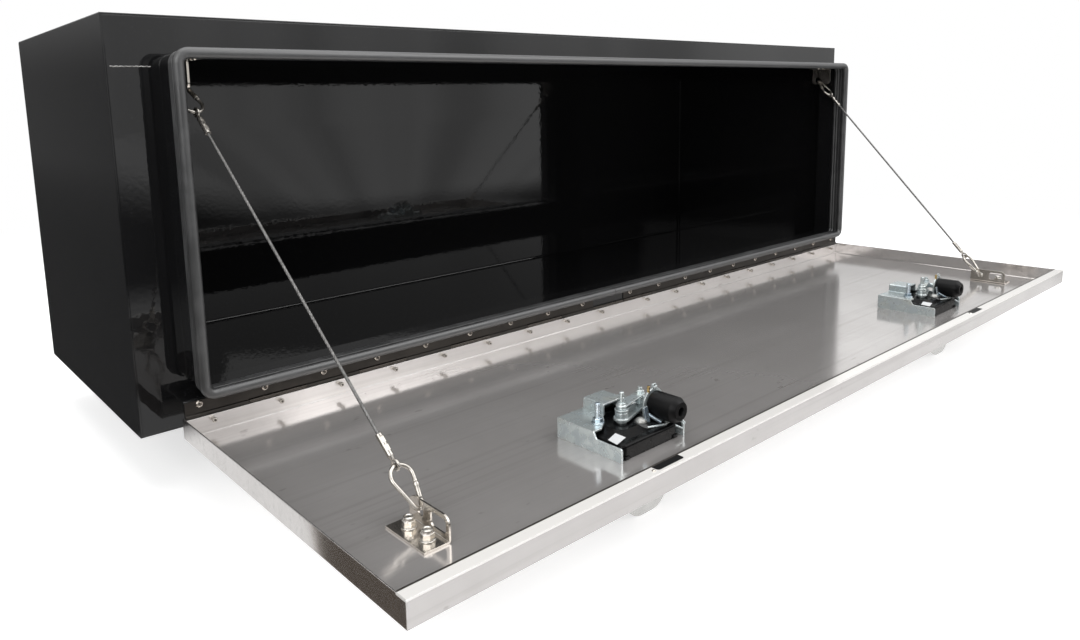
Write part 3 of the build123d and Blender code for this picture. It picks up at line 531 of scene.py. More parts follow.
black_coat = PowderCoat("black_coat_finish")
pan_steel = PanSteel(
    "pan_steel_finish", light=(0.74, 0.715, 0.70), dark=(0.63, 0.605, 0.59), gloss=0.095, haze=0.07, metal=0.67,
    grain=(3, 480, 480), grain_depth=0.000005, edge=0.0012,
)
dark_leaf = RolledSteel(
    "dark_leaf_finish", light=(0.05, 0.045, 0.04), dark=(0.028, 0.025, 0.023), gloss=0.3, cloud_size=0.03, metal=0.85
)
bright_leaf = HingeSteel(
    "bright_leaf_finish", light=(0.74, 0.71, 0.67), dark=(0.6, 0.57, 0.53), gloss=0.2, cloud_size=0.05, metal=0.8
)
rivet_steel = RolledSteel(
    "rivet_steel_finish", light=(0.80, 0.77, 0.71), dark=(0.55, 0.51, 0.45), gloss=0.14, cloud_size=0.004,
    grain=(90, 90, 90), metal=0.9,
)
dark_rivet = RolledSteel(
    "dark_rivet_finish", light=(0.55, 0.5, 0.45), dark=(0.3, 0.27, 0.24), gloss=0.12, cloud_size=0.004,
    grain=(90, 90, 90), metal=0.95,
)
tail_steel = RolledSteel(
    "tail_steel_finish", light=(0.72, 0.68, 0.62), dark=(0.4, 0.37, 0.33), gloss=0.18, cloud_size=0.003,
    grain=(90, 90, 90), metal=0.7,
)
# painted highlight: light grey metal so the black-coated weld seam shows as a bright glint line
weld_glint = RolledSteel(
    "weld_glint_finish", light=(0.55, 0.54, 0.52), dark=(0.05, 0.05, 0.05), gloss=0.2, cloud_size=0.003,
    grain=(400, 400, 400), metal=0.7,
)
bracket_steel = RolledSteel(
    "bracket_steel_finish", light=(0.62, 0.58, 0.53), dark=(0.42, 0.39, 0.35), gloss=0.12, haze=0.08, cloud_size=0.016,
    grain=(30, 260, 260), metal=0.9,
)
dull_cap = RolledSteel(
    "dull_cap_finish", light=(0.46, 0.46, 0.44), dark=(0.3, 0.3, 0.29), gloss=0.34, cloud_size=0.008,
    grain=(60, 60, 60), metal=0.7,
)
nut_steel = RolledSteel(
    "nut_steel_finish", light=(0.82, 0.80, 0.76), dark=(0.5, 0.47, 0.43), gloss=0.1, cloud_size=0.005,
    grain=(90, 90, 90), metal=0.9,
)
stay_steel = RolledSteel(
    "stay_steel_finish", light=(0.58, 0.55, 0.51), dark=(0.34, 0.32, 0.29), gloss=0.16, cloud_size=0.008,
    grain=(120, 120, 120), metal=0.9,
)
rope_steel = RolledSteel(
    "rope_steel_finish", light=(0.24, 0.235, 0.23), dark=(0.09, 0.088, 0.085), gloss=0.26, cloud_size=0.004,
    grain=(300, 300, 300), metal=0.85,
)
handle_steel = RolledSteel(
    "handle_steel_finish", light=(0.74, 0.73, 0.71), dark=(0.6, 0.59, 0.57), cloud_size=0.02, metal=0.85
)
zinc_plate = ZincPlate("zinc_plate_finish")
blue_zinc = ZincPlate(
    "blue_zinc_finish", light=(0.58, 0.68, 0.75), dark=(0.26, 0.35, 0.44), tint=(0.6, 0.64, 0.64), metal=0.8
)
seal_rubber = Moulded(
    "seal_rubber_finish", colour=(0.03, 0.0303, 0.031), worn=(0.05, 0.0505, 0.052), gloss=0.33, sheen=1.0
)
roller_rubber = Moulded(
    "roller_rubber_finish", colour=(0.003, 0.003, 0.0033), worn=(0.005, 0.005, 0.005), gloss=0.34, sheen=0.16
)
latch_black = Moulded(
    "latch_black_finish", colour=(0.0025, 0.0025, 0.0028), worn=(0.004, 0.004, 0.004), gloss=0.22, sheen=0.12
)
mound_black = Moulded(
    "mound_black_finish", colour=(0.004, 0.004, 0.0044), worn=(0.008, 0.008, 0.008), gloss=0.3, sheen=0.6
)
brass = RolledSteel("brass_finish", light=(0.80, 0.58, 0.26), dark=(0.6, 0.42, 0.17), gloss=0.2, cloud_size=0.004)
label_white = Moulded("label_white_finish", colour=(0.80, 0.81, 0.82), worn=(0.7, 0.71, 0.72), gloss=0.4)
# dark steel of the rivet mandrels, darkened as painted shade in their holes; also the finish of painted shade strips
# and discs
mandrel_and_shade_steel = RolledSteel(
    "mandrel_and_shade_steel_finish", light=(0.12, 0.11, 0.1), dark=(0.05, 0.045, 0.04), gloss=0.3, cloud_size=0.003
)


class Blank:
    """Raw mesh that grows by turned, swept and cut-out forms."""

    def __init__(self) -> None:
        """Start with nothing."""
        self.points: list[Vector] = []
        self.faces: list[tuple[int, ...]] = []

    def rows(self, rows: Sequence[Sequence[Vector]], closed: bool = True, capped: bool = True) -> None:
        """Skin rows of points that have the same count.

        Args:
            rows: the rows in order.
            closed: whether each row is a ring.
            capped: whether the first and last rows get a flat face.
        """
        start, count = len(self.points), len(rows[0])
        for row in rows:
            self.points.extend(row)
        steps = count if closed else count - 1
        for r in range(len(rows) - 1):
            for k in range(steps):
                a, b = start + r * count + k, start + r * count + (k + 1) % count
                self.faces.append((a, b, b + count, a + count))
        if capped:
            self.faces.append(tuple(start + k for k in reversed(range(count))))
            self.faces.append(tuple(start + (len(rows) - 1) * count + k for k in range(count)))

    def turned(self, profile: Outline, at: Matrix, sides: int = 24) -> None:
        """Turn a profile about the place's own z axis.

        Args:
            profile: radius and height pairs in millimetres, from one end to the other.
            at: where it stands, in metres.
            sides: how many sides the ring has.
        """
        rings = [
            [at @ mm(r * cos(2 * pi * k / sides), r * sin(2 * pi * k / sides), z) for k in range(sides)]
            for r, z in profile
        ]
        self.rows(rings)

    def slab(self, outline: Outline, low: float, high: float, at: Matrix, edge: float = 0.2) -> None:
        """Raise a flat outline between two heights, with a small chamfer on both faces.

        Args:
            outline: x and y pairs in millimetres, anticlockwise.
            low: the lower face in millimetres.
            high: the upper face in millimetres.
            at: where it stands, in metres.
            edge: the chamfer in millimetres.
        """
        inner = shrink(outline, edge)
        levels = [(inner, low), (outline, low + edge), (outline, high - edge), (inner, high)]
        self.rows([[at @ mm(x, y, z) for x, y in ring] for ring, z in levels])

    def swept(self, path: Sequence[Vector], radius: float, sides: int = 8) -> None:
        """Carry a circle along a path.

        Args:
            path: its points in metres.
            radius: the circle's radius in metres.
            sides: how many sides the ring has.
        """
        normal = (path[1] - path[0]).orthogonal().normalized()
        rings = []
        for n, point in enumerate(path):
            along = (path[min(n + 1, len(path) - 1)] - path[max(n - 1, 0)]).normalized()
            normal = (normal - along * normal.dot(along)).normalized()
            across = along.cross(normal)
            turns = [2 * pi * k / sides for k in range(sides)]
            rings.append([point + (normal * cos(turn) + across * sin(turn)) * radius for turn in turns])
        self.rows(rings)

    def piece(self, name: str, finish: Finish, body: str, slot: str, crease: float = 35) -> bpy.types.Object:
        """Make the object, dress it and let it ride.

        Args:
            name: the piece's name.
            finish: what it is dressed in.
            body: the CAD body that it moves with.
            slot: the record's material slot; not used.
            crease: the angle in degrees above which an edge stays sharp.

        Returns:
            The new object.
        """
        mesh = bpy.data.meshes.new(name)
        mesh.from_pydata(self.points, [], self.faces)
        mesh.polygons.foreach_set("use_smooth", [True] * len(mesh.polygons))
        mesh.set_sharp_from_angle(angle=radians(crease))
        mesh.materials.append(finish.material())
        made = linked(name, mesh)
        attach(made, body)
        log.info("%s: %d faces, rides on %s", name, len(mesh.polygons), body)
        return made


def shrink(outline: Outline, step: float) -> list[Pair]:
    """Move each corner of an anticlockwise outline inwards.

    Args:
        outline: x and y pairs in millimetres.
        step: how far each side moves in.

    Returns:
        The smaller outline.
    """
    result = []
    count = len(outline)
    for k, (x, y) in enumerate(outline):
        before, after = outline[k - 1], outline[(k + 1) % count]
        a = Vector((x - before[0], y - before[1])).normalized()
        b = Vector((after[0] - x, after[1] - y)).normalized()
        lean = Vector((-(a.y + b.y), a.x + b.x))
        reach = step / max(0.35, lean.length / 2)
        lean.normalize()
        result.append((x + lean.x * reach, y + lean.y * reach))
    return result


def arc(centre: Pair, radius: float, start: float, sweep: float, steps: int) -> list[Pair]:
    """Return points along an arc.

    Args:
        centre: its middle in millimetres.
        radius: its radius.
        start: the first point's direction in radians.
        sweep: how far it runs on, negative for clockwise.
        steps: how many sides it has.

    Returns:
        The points, both ends among them.
    """
    turns = [start + sweep * k / steps for k in range(steps + 1)]
    return [(centre[0] + radius * cos(turn), centre[1] + radius * sin(turn)) for turn in turns]


def rounded(
    x_low: float, x_high: float, y_low: float, y_high: float, radius: float, steps: int = 5
) -> list[Pair]:
    """Return a rectangle with round corners, anticlockwise.

    Args:
        x_low: the left side in millimetres.
        x_high: the right side.
        y_low: the lower side.
        y_high: the upper side.
        radius: the corners' radius.
        steps: how many sides each corner has.

    Returns:
        The outline.
    """
    left, right, bottom, top = x_low + radius, x_high - radius, y_low + radius, y_high - radius
    corners = [(right, bottom), (right, top), (left, top), (left, bottom)]
    return [point for k, at in enumerate(corners) for point in arc(at, radius, pi / 2 * (k - 1), pi / 2, steps)]


def hexagon(reach: float, turn: float) -> list[Pair]:
    """Return a nut's outline, anticlockwise.

    Args:
        reach: from its middle to a corner in millimetres.
        turn: how far it is turned, in radians.

    Returns:
        The outline.
    """
    return arc((0, 0), reach, turn, 5 * pi / 3, 5)


def standing(at: Vector, up: Vector) -> Matrix:
    """Return the place of a form that stands at a point, its own x axis roughly along the box.

    Args:
        at: the point in metres.
        up: the direction of its own z axis.

    Returns:
        The matrix.
    """
    up = up.normalized()
    along_box = Vector((1, 0, 0))
    across = (along_box - up * along_box.dot(up)).normalized()
    return Matrix.Translation(at) @ Matrix((across, up.cross(across), up)).transposed().to_4x4()


@dataclass
class Studio:
    """The camera at the photograph's viewing angle, floor, lamps and surroundings."""

    eye: Point = (-0.994802, -1.100086, -0.100358)
    turn: float = 40.128
    dip: float = 8.871
    roll: float = -1.440
    focal: float = 794.516
    centre: Pair = (494.678, 226.153)
    picture: tuple[int, int] = (1080, 640)
    floor_level: float = -0.5292
    floor_reach: float = 14.0
    floor_shade: Colour = (0.82, 0.82, 0.82)
    floor_lift: float = 0.6
    fade: Pair = (1.1, 2.4)
    room_dark: float = 0.085
    room_front: float = 0.84
    room_ceiling: float = 0.85
    room_plain: float = 0.5
    ground_dark: float = 0.045
    ground_west: float = 0.04
    ground_bright: float = 0.86
    mat_depth: float = 0.815
    mat_slope: float = 2.36
    mat_offset: float = 2.288
    mat_tone: Colour = (1.0, 0.84, 0.7)
    lamps: tuple[tuple[str, Point, Point, float, float], ...] = (
        ("key_lamp", (1.6, -2.4, 1.9), (0.1, -0.3, -0.3), 2.6, 48),
        ("top_lamp", (-0.2, -0.3, 2.6), (0, -0.3, 0), 3.0, 46),
        ("fill_lamp", (-2.6, -1.6, 1.0), (0, -0.3, -0.3), 1.8, 26),
    )

    def camera(self) -> None:
        """Place the camera and its shift."""
        data = bpy.data.cameras.new("camera")
        made = linked("camera", data)
        bpy.context.scene.camera = made
        az, el, roll = radians(self.turn), radians(self.dip), radians(self.roll)
        ahead = Vector((sin(az) * cos(el), cos(az) * cos(el), -sin(el)))
        right = Vector((cos(az), -sin(az), 0))
        up = right.cross(ahead)
        rolled_right = right * cos(roll) + up * sin(roll)
        rolled_up = up * cos(roll) - right * sin(roll)
        turned = Matrix((rolled_right, rolled_up, -ahead)).transposed().to_4x4()
        made.matrix_world = Matrix.Translation(self.eye) @ turned
        width, height = self.picture
        data.sensor_width = 36
        data.lens = self.focal * data.sensor_width / width
        data.shift_x = (width / 2 - self.centre[0]) / width
        data.shift_y = (self.centre[1] - height / 2) / width
        data.clip_start, data.clip_end = 0.01, 100

    def streaks(self, recipe: Recipe, way: Reading) -> Reading:
        """Return soft upright streaks that differ by direction, as of hung cloth.

        Args:
            recipe: the nodes they are added to.
            way: the direction or place that is lit.

        Returns:
            A factor near 1.
        """
        flat = {0: way, 1: (1.0, 1.0, 0.0)}
        level = recipe.node("ShaderNodeVectorMath", {"operation": "MULTIPLY"}, flat)
        around = recipe.node("ShaderNodeVectorMath", {"operation": "NORMALIZE"}, {0: level})
        values = {"Vector": around, "Scale": 9.0, "Detail": 2.0, "Roughness": 0.5}
        folds = recipe.node("ShaderNodeTexNoise", {}, values).band(0.34, 0.66)
        return 0.78 + folds * 0.34

    def surroundings(self) -> None:
        """Make the world: white behind, a dark room with a bright side in reflections."""
        world = bpy.data.worlds.new("studio_room")
        bpy.context.scene.world = world
        world.use_nodes = True
        recipe = Recipe(world.node_tree)
        ray = recipe.node("ShaderNodeLightPath", output="Is Camera Ray")
        glossy = recipe.node("ShaderNodeLightPath", output="Is Glossy Ray")
        way = recipe.node("ShaderNodeTexCoord", output="Generated")
        x, y, z = recipe.axes(way)
        low = 1 - z.band(0.06, 0.3)
        front = (x * 0.55 - y * 0.83).band(0.55, 0.9) * self.streaks(recipe, way)
        ceiling = z.band(0.03, 0.32)
        room = self.room_dark + front * low * self.room_front + ceiling * self.room_ceiling
        level = glossy * room + (1 - glossy) * self.room_plain
        back = recipe.node("ShaderNodeBackground", {}, {"Color": WHITE, "Strength": ray + (1 - ray) * level})
        recipe.node("ShaderNodeOutputWorld", {}, {"Surface": back})

    def ground(self, recipe: Recipe) -> tuple[Reading, Reading]:
        """Return what the floor shows in reflections: bright cloth in front and a brown mat at the left corner.

        Args:
            recipe: the floor's nodes.

        Returns:
            The brightness and the mat's share.
        """
        x, y, _ = recipe.axes()
        far = (x - y * 0.1).band(0.1, 1.1) * (1 - y.band(-1.9, -0.9)) * self.streaks(recipe, recipe.place())
        near = (1 - x.size().band(1.0, 1.5)) * y.band(-1.45, -0.95) * (1 - y.band(-0.1, 0.0))
        west = (0 - x).band(1.0, 2.4) * self.ground_west
        slant = y + x * self.mat_slope + self.mat_offset
        corner = (1 - x.band(-0.755, -0.745)) * x.band(-1.3, -1.1) * y.band(-0.75, -0.72)
        mat = corner * (1 - slant.band(-0.01, 0.01))
        cloth = (far + near * (1 - far)) * (self.ground_bright - self.mat_depth * mat)
        return self.ground_dark + west + cloth, mat

    def floor(self) -> None:
        """Lay the pale floor, which keeps the box's soft shadow."""
        reach, level = self.floor_reach, self.floor_level
        corners = [Vector((x * reach, y * reach, level)) for x, y in ((-1, -1), (1, -1), (1, 1), (-1, 1))]
        mesh = bpy.data.meshes.new("floor")
        mesh.from_pydata(corners, [], [(0, 1, 2, 3)])
        made = linked("floor", mesh)
        finish = bpy.data.materials.new("floor_finish")
        finish.use_nodes = True
        mesh.materials.append(finish)
        recipe = Recipe(finish.node_tree)
        ray = recipe.node("ShaderNodeLightPath", output="Is Camera Ray")
        glossy = recipe.node("ShaderNodeLightPath", output="Is Glossy Ray")
        away = recipe.node("ShaderNodeVectorMath", {"operation": "LENGTH"}, {0: recipe.place()}, output="Value")
        glow, mat = self.ground(recipe)
        pale = recipe.node("ShaderNodeBsdfDiffuse", {}, {"Color": self.floor_shade})
        lift = recipe.node("ShaderNodeEmission", {}, {"Color": WHITE, "Strength": self.floor_lift})
        shaded = recipe.node("ShaderNodeAddShader", {}, {0: pale, 1: lift})
        white = recipe.node("ShaderNodeEmission", {}, {"Color": WHITE, "Strength": 1.0})
        seen = recipe.node("ShaderNodeMixShader", {}, {0: away.band(*self.fade), 1: shaded, 2: white})
        tone = recipe.blend(mat, WHITE, self.mat_tone)
        mirrored = recipe.node("ShaderNodeEmission", {}, {"Color": tone, "Strength": glow})
        hidden = recipe.node("ShaderNodeMixShader", {}, {0: glossy, 1: pale, 2: mirrored})
        both = recipe.node("ShaderNodeMixShader", {}, {0: ray, 1: hidden, 2: seen})
        recipe.node("ShaderNodeOutputMaterial", {}, {"Surface": both})

    def light(self) -> None:
        """Hang the soft lamps."""
        for name, place, aim, size, power in self.lamps:
            data = bpy.data.lights.new(name, "AREA")
            data.size = size
            data.energy = power
            made = linked(name, data)
            made.location = place
            made.rotation_mode = "QUATERNION"
            made.rotation_quaternion = (Vector(aim) - Vector(place)).to_track_quat("-Z", "Y")

    def build(self) -> None:
        """Set up the whole studio."""
        bpy.context.scene.view_settings.view_transform = "Standard"
        self.camera()
        self.surroundings()
        self.floor()
        self.light()
        log.info("studio: camera, floor, room and %d lamps", len(self.lamps))


@dataclass
class Rivets:
    """A row of blind rivets: a domed head with its mandrel hole, a shank and a flattened tail; the dark mandrels add
    painted shade in the hole.
    """

    name: str
    node: str
    body: str
    columns: tuple[float, ...]
    level: float
    face: float
    outward: int
    shank: float
    finish: Finish
    head: Outline = (
        (2.1, 0.4), (2.2, 1.7), (2.8, 2.0), (3.7, 1.6), (4.3, 0.8), (4.5, 0.02), (4.48, 0.0)
    )
    tail: Outline = ((2.4, 3.9), (2.9, 2.7), (3.0, 0.9), (2.5, 0.1))
    mandrel_head: Outline = ((0.9, 1.0), (1.45, 0.7), (1.45, 0.2))
    mandrel_tip: Outline = ((1.3, 0.3), (1.3, -0.7), (0.8, -1.0))
    sides: int = 20

    def place(self, column: float) -> Matrix:
        """Return where the rivet of one column stands, its own z axis towards the head."""
        return standing(mm(column, self.face, self.level), up=Vector((0, self.outward, 0)))

    def build(self) -> None:
        """Make the heads, shanks and tails as one piece and the mandrels as another."""
        rivets, mandrels = Blank(), Blank()
        profile = (*self.head, (self.tail[0][0], 0.0), *((r, z - self.shank) for r, z in self.tail))
        tip = [(r, z - self.shank) for r, z in self.mandrel_tip]
        for column in self.columns:
            at = self.place(column)
            rivets.turned(profile, at, self.sides)
            # painted shade: the dark mandrel head fills the middle of the head's hole
            mandrels.turned(self.mandrel_head, at, 12)
            mandrels.turned(tip, at, 12)
        made = rivets.piece(self.name, self.finish, self.body, "rivet_steel")
        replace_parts(made, self.node)
        mandrels.piece(f"{self.name}_mandrels", mandrel_and_shade_steel, self.body, "rivet_steel")


@dataclass
class Cabinet:
    """The black cabinet with its frame, seal, hinge rail and upper brackets."""

    front: float = -210.0
    seam_level: float = -54.2
    seam_span: Pair = (-757.0, -716.0)
    seam_radius: float = 0.75
    collar_half: Pair = (706.0, 706.0)
    collar_levels: Pair = (-407.2, -42.7)
    collar_round: float = 11.0
    butt_x: float = -44.0
    butt_width: float = 0.7
    butt_swell: float = 0.1
    bulb: Pair = (54.4, 6.0)
    clip: Outline = (
        (32.0, 2.6), (32.4, 3.0), (34.6, 3.1), (35.6, 3.9), (36.8, 3.1), (39.6, 3.1), (40.8, 4.0), (42.0, 3.1),
        (44.6, 3.2), (45.8, 4.3), (47.4, 4.4), (48.4, 3.2), (48.7, 2.3),
    )
    inner_corner: Point = (757.6, 206.0, -2.6)
    corner_foot: float = -454.0
    bead_radii: Pair = (2.2, 1.8)
    rivet_pitch: float = 76.2
    rivet_starts: Pair = (-708.7, 16.3)
    rivet_counts: tuple[int, int] = (9, 10)

    def dress(self) -> None:
        """Put finishes on the cabinet's CAD nodes."""
        black_coat.dress("shell_wrap", "left_end", "right_end", "front_frame", "hinge_rail")
        dark_leaf.dress("hinge_leaf_box_left", "hinge_leaf_box_right", "hinge_pins")
        rivet_steel.dress("top_bracket_rivets")
        bracket_steel.dress("stay_bracket_top_left", "stay_bracket_top_right")

    def section(self, swell: float = 0.0) -> list[Pair]:
        """Return the seal's section: reach from the front face and offset from the collar.

        Args:
            swell: how much larger it is, in millimetres.

        Returns:
            The closed outline.
        """
        middle, radius = self.bulb
        rim = arc((middle, 0), radius + swell, radians(150), -radians(300), 18)
        upper = [(reach, half + swell) for reach, half in self.clip]
        return upper + rim + [(reach, -half) for reach, half in reversed(upper)]

    def round_trip(self, offset: float) -> list[Pair]:
        """Return the seal's way round the collar at an offset from its middle."""
        wide, (base, top) = self.collar_half, self.collar_levels
        turn = self.collar_round + offset
        return rounded(-wide[0] - offset, wide[1] + offset, base - offset, top + offset, turn, steps=8)

    def seal(self) -> None:
        """Push the bulb seal over the collar, with its clip ridges and its butt joint."""
        blank, outline = Blank(), self.section()
        ways = [self.round_trip(offset) for _, offset in outline]
        rows = [
            [mm(way[n][0], self.front - reach, way[n][1]) for (reach, _), way in zip(outline, ways)]
            for n in range(len(ways[0]))
        ]
        blank.rows([*rows, rows[0]], capped=False)
        made = blank.piece("bulb_seal", seal_rubber, "cabinet", "seal_rubber", crease=50)
        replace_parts(made, "door_seal")
        joint, low, slice_outline = Blank(), self.collar_levels[0], self.section(self.butt_swell)
        joint.rows([
            [mm(self.butt_x + side, self.front - reach, low - offset) for reach, offset in slice_outline]
            for side in (0, self.butt_width)
        ])
        joint.piece("seal_joint", roller_rubber, "cabinet", "seal_rubber")

    def welds(self) -> None:
        """Lay the thin weld line beside the seal, coloured light grey as a painted highlight on the coated weld, and
        the beads in the inner corners.
        """
        seam, (low, high), steps = Blank(), self.seam_span, 30
        for sign in (1, -1):
            path = [
                mm(sign * (low + (high - low) * n / steps), self.front, self.seam_level + 0.3 * sin(n * 1.7))
                for n in range(steps + 1)
            ]
            seam.swept(path, self.seam_radius / 1000)
        # painted highlight: the coated seam is given a light metal colour
        seam.piece("weld_seams", weld_glint, "cabinet", "black_coat")
        beads = Blank()
        x, y, top = self.inner_corner
        upright, level = (radius / 1000 for radius in self.bead_radii)
        for sign in (1, -1):
            heights = [top - (top - self.corner_foot) * n / 60 for n in range(61)]
            beads.swept([mm(sign * x, y, z) + mm(0.15 * sin(n * 2.3), 0, 0) for n, z in enumerate(heights)], upright)
        foot = self.corner_foot + 0.4
        beads.swept([mm(x - 2 * x * n / 120, y, foot + 0.1 * sin(n * 2.1)) for n in range(121)], level)
        beads.piece("corner_beads", black_coat, "cabinet", "black_coat")

    def rivets(self) -> None:
        """Set the blind rivets of the hinge's fixed leaf."""
        rows = zip(self.rivet_starts, self.rivet_counts)
        columns = tuple(start + self.rivet_pitch * n for start, count in rows for n in range(count))
        Rivets(
            "rail_rivets", "box_rivets", "cabinet", columns, level=-420.5, face=-248.6, outward=-1, shank=7.0,
            finish=dark_rivet,
        ).build()

    def build(self) -> None:
        """Dress and detail the cabinet."""
        self.dress()
        self.seal()
        self.welds()
        self.rivets()


@dataclass
class Door:
    """The stainless door pan with its hinge leaves, rivets and lip pads."""

    floor: float = -455.5
    lip_back: float = -667.5
    lip_level: float = -432.7
    half: float = 726.5
    rivet_pitch: float = 79.7
    rivet_start: float = 695.3
    rivet_count: int = 9
    screw_places: Outline = ((652.0, -571.0), (652.0, -598.0), (-652.0, -571.0), (-652.0, -598.0))
    washer_profile: Outline = ((3.0, 0.0), (6.8, 0.0), (7.1, 0.2), (7.1, 0.9), (6.8, 1.1), (3.0, 1.1))
    nut_reach: float = 6.1
    nut_levels: Pair = (1.1, 6.8)
    nut_profile: Outline = ((4.9, 6.6), (5.0, 8.6), (4.6, 9.5), (3.6, 9.8), (2.7, 9.2), (2.5, 8.0))
    screw_profile: Outline = (
        (2.2, 9.4), (2.5, 9.1), (2.5, -3.4), (5.4, -3.4), (5.2, -4.4), (3.6, -5.2), (1.6, -5.5)
    )

    def dress(self) -> None:
        """Put finishes on the door's CAD nodes."""
        pan_steel.dress("door_pan")
        bright_leaf.dress("hinge_leaf_door_left", "hinge_leaf_door_right")
        rivet_steel.dress("lip_screws")
        bracket_steel.dress("stay_bracket_door_left", "stay_bracket_door_right")
        roller_rubber.dress("lip_pads")

    def lay_lip_gap_shade(self) -> None:
        """Lay a thin dark strip along the back of the lip, painted shadow in the gap under its edge."""
        blank = Blank()
        low, high = self.lip_level - 1.0, self.lip_level + 0.15
        outline = rounded(-self.half, self.half, self.lip_back - 0.2, self.lip_back + 1.8, 0.4, steps=2)
        blank.slab(outline, low, high, Matrix(), edge=0.15)
        # painted shadow: dark strip where the gap under the lip falls in shade
        blank.piece("lip_gap_shade", mandrel_and_shade_steel, "door", "stainless_sheet")

    def rivets(self) -> None:
        """Set the blind rivets of the hinge's moving leaf, tails towards the inside."""
        half = tuple(self.rivet_start - self.rivet_pitch * n for n in range(self.rivet_count))
        columns = half + tuple(-x for x in half)
        Rivets(
            "leaf_rivets", "door_rivets", "door", columns, level=-440.7, face=-247.4, outward=1, shank=9.2,
            finish=tail_steel,
        ).build()

    def nuts(self) -> None:
        """Turn the screws, washers and lock nuts of the stay brackets."""
        screws, nuts = Blank(), Blank()
        for x, y in self.screw_places:
            at = Matrix.Translation(mm(x, y, self.floor + 2.0))
            nuts.turned(self.washer_profile, at, 28)
            nuts.slab(hexagon(self.nut_reach, 0.3), *self.nut_levels, at, edge=0.5)
            nuts.turned(self.nut_profile, at, 28)
            screws.turned(self.screw_profile, at, 24)
        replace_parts(nuts.piece("lock_nuts", nut_steel, "door", "bracket_steel"), "bracket_nuts")
        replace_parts(screws.piece("stay_screws", nut_steel, "door", "bracket_steel"), "bracket_screws")

    def build(self) -> None:
        """Dress and detail the door."""
        self.dress()
        self.lay_lip_gap_shade()
        self.rivets()
        self.nuts()


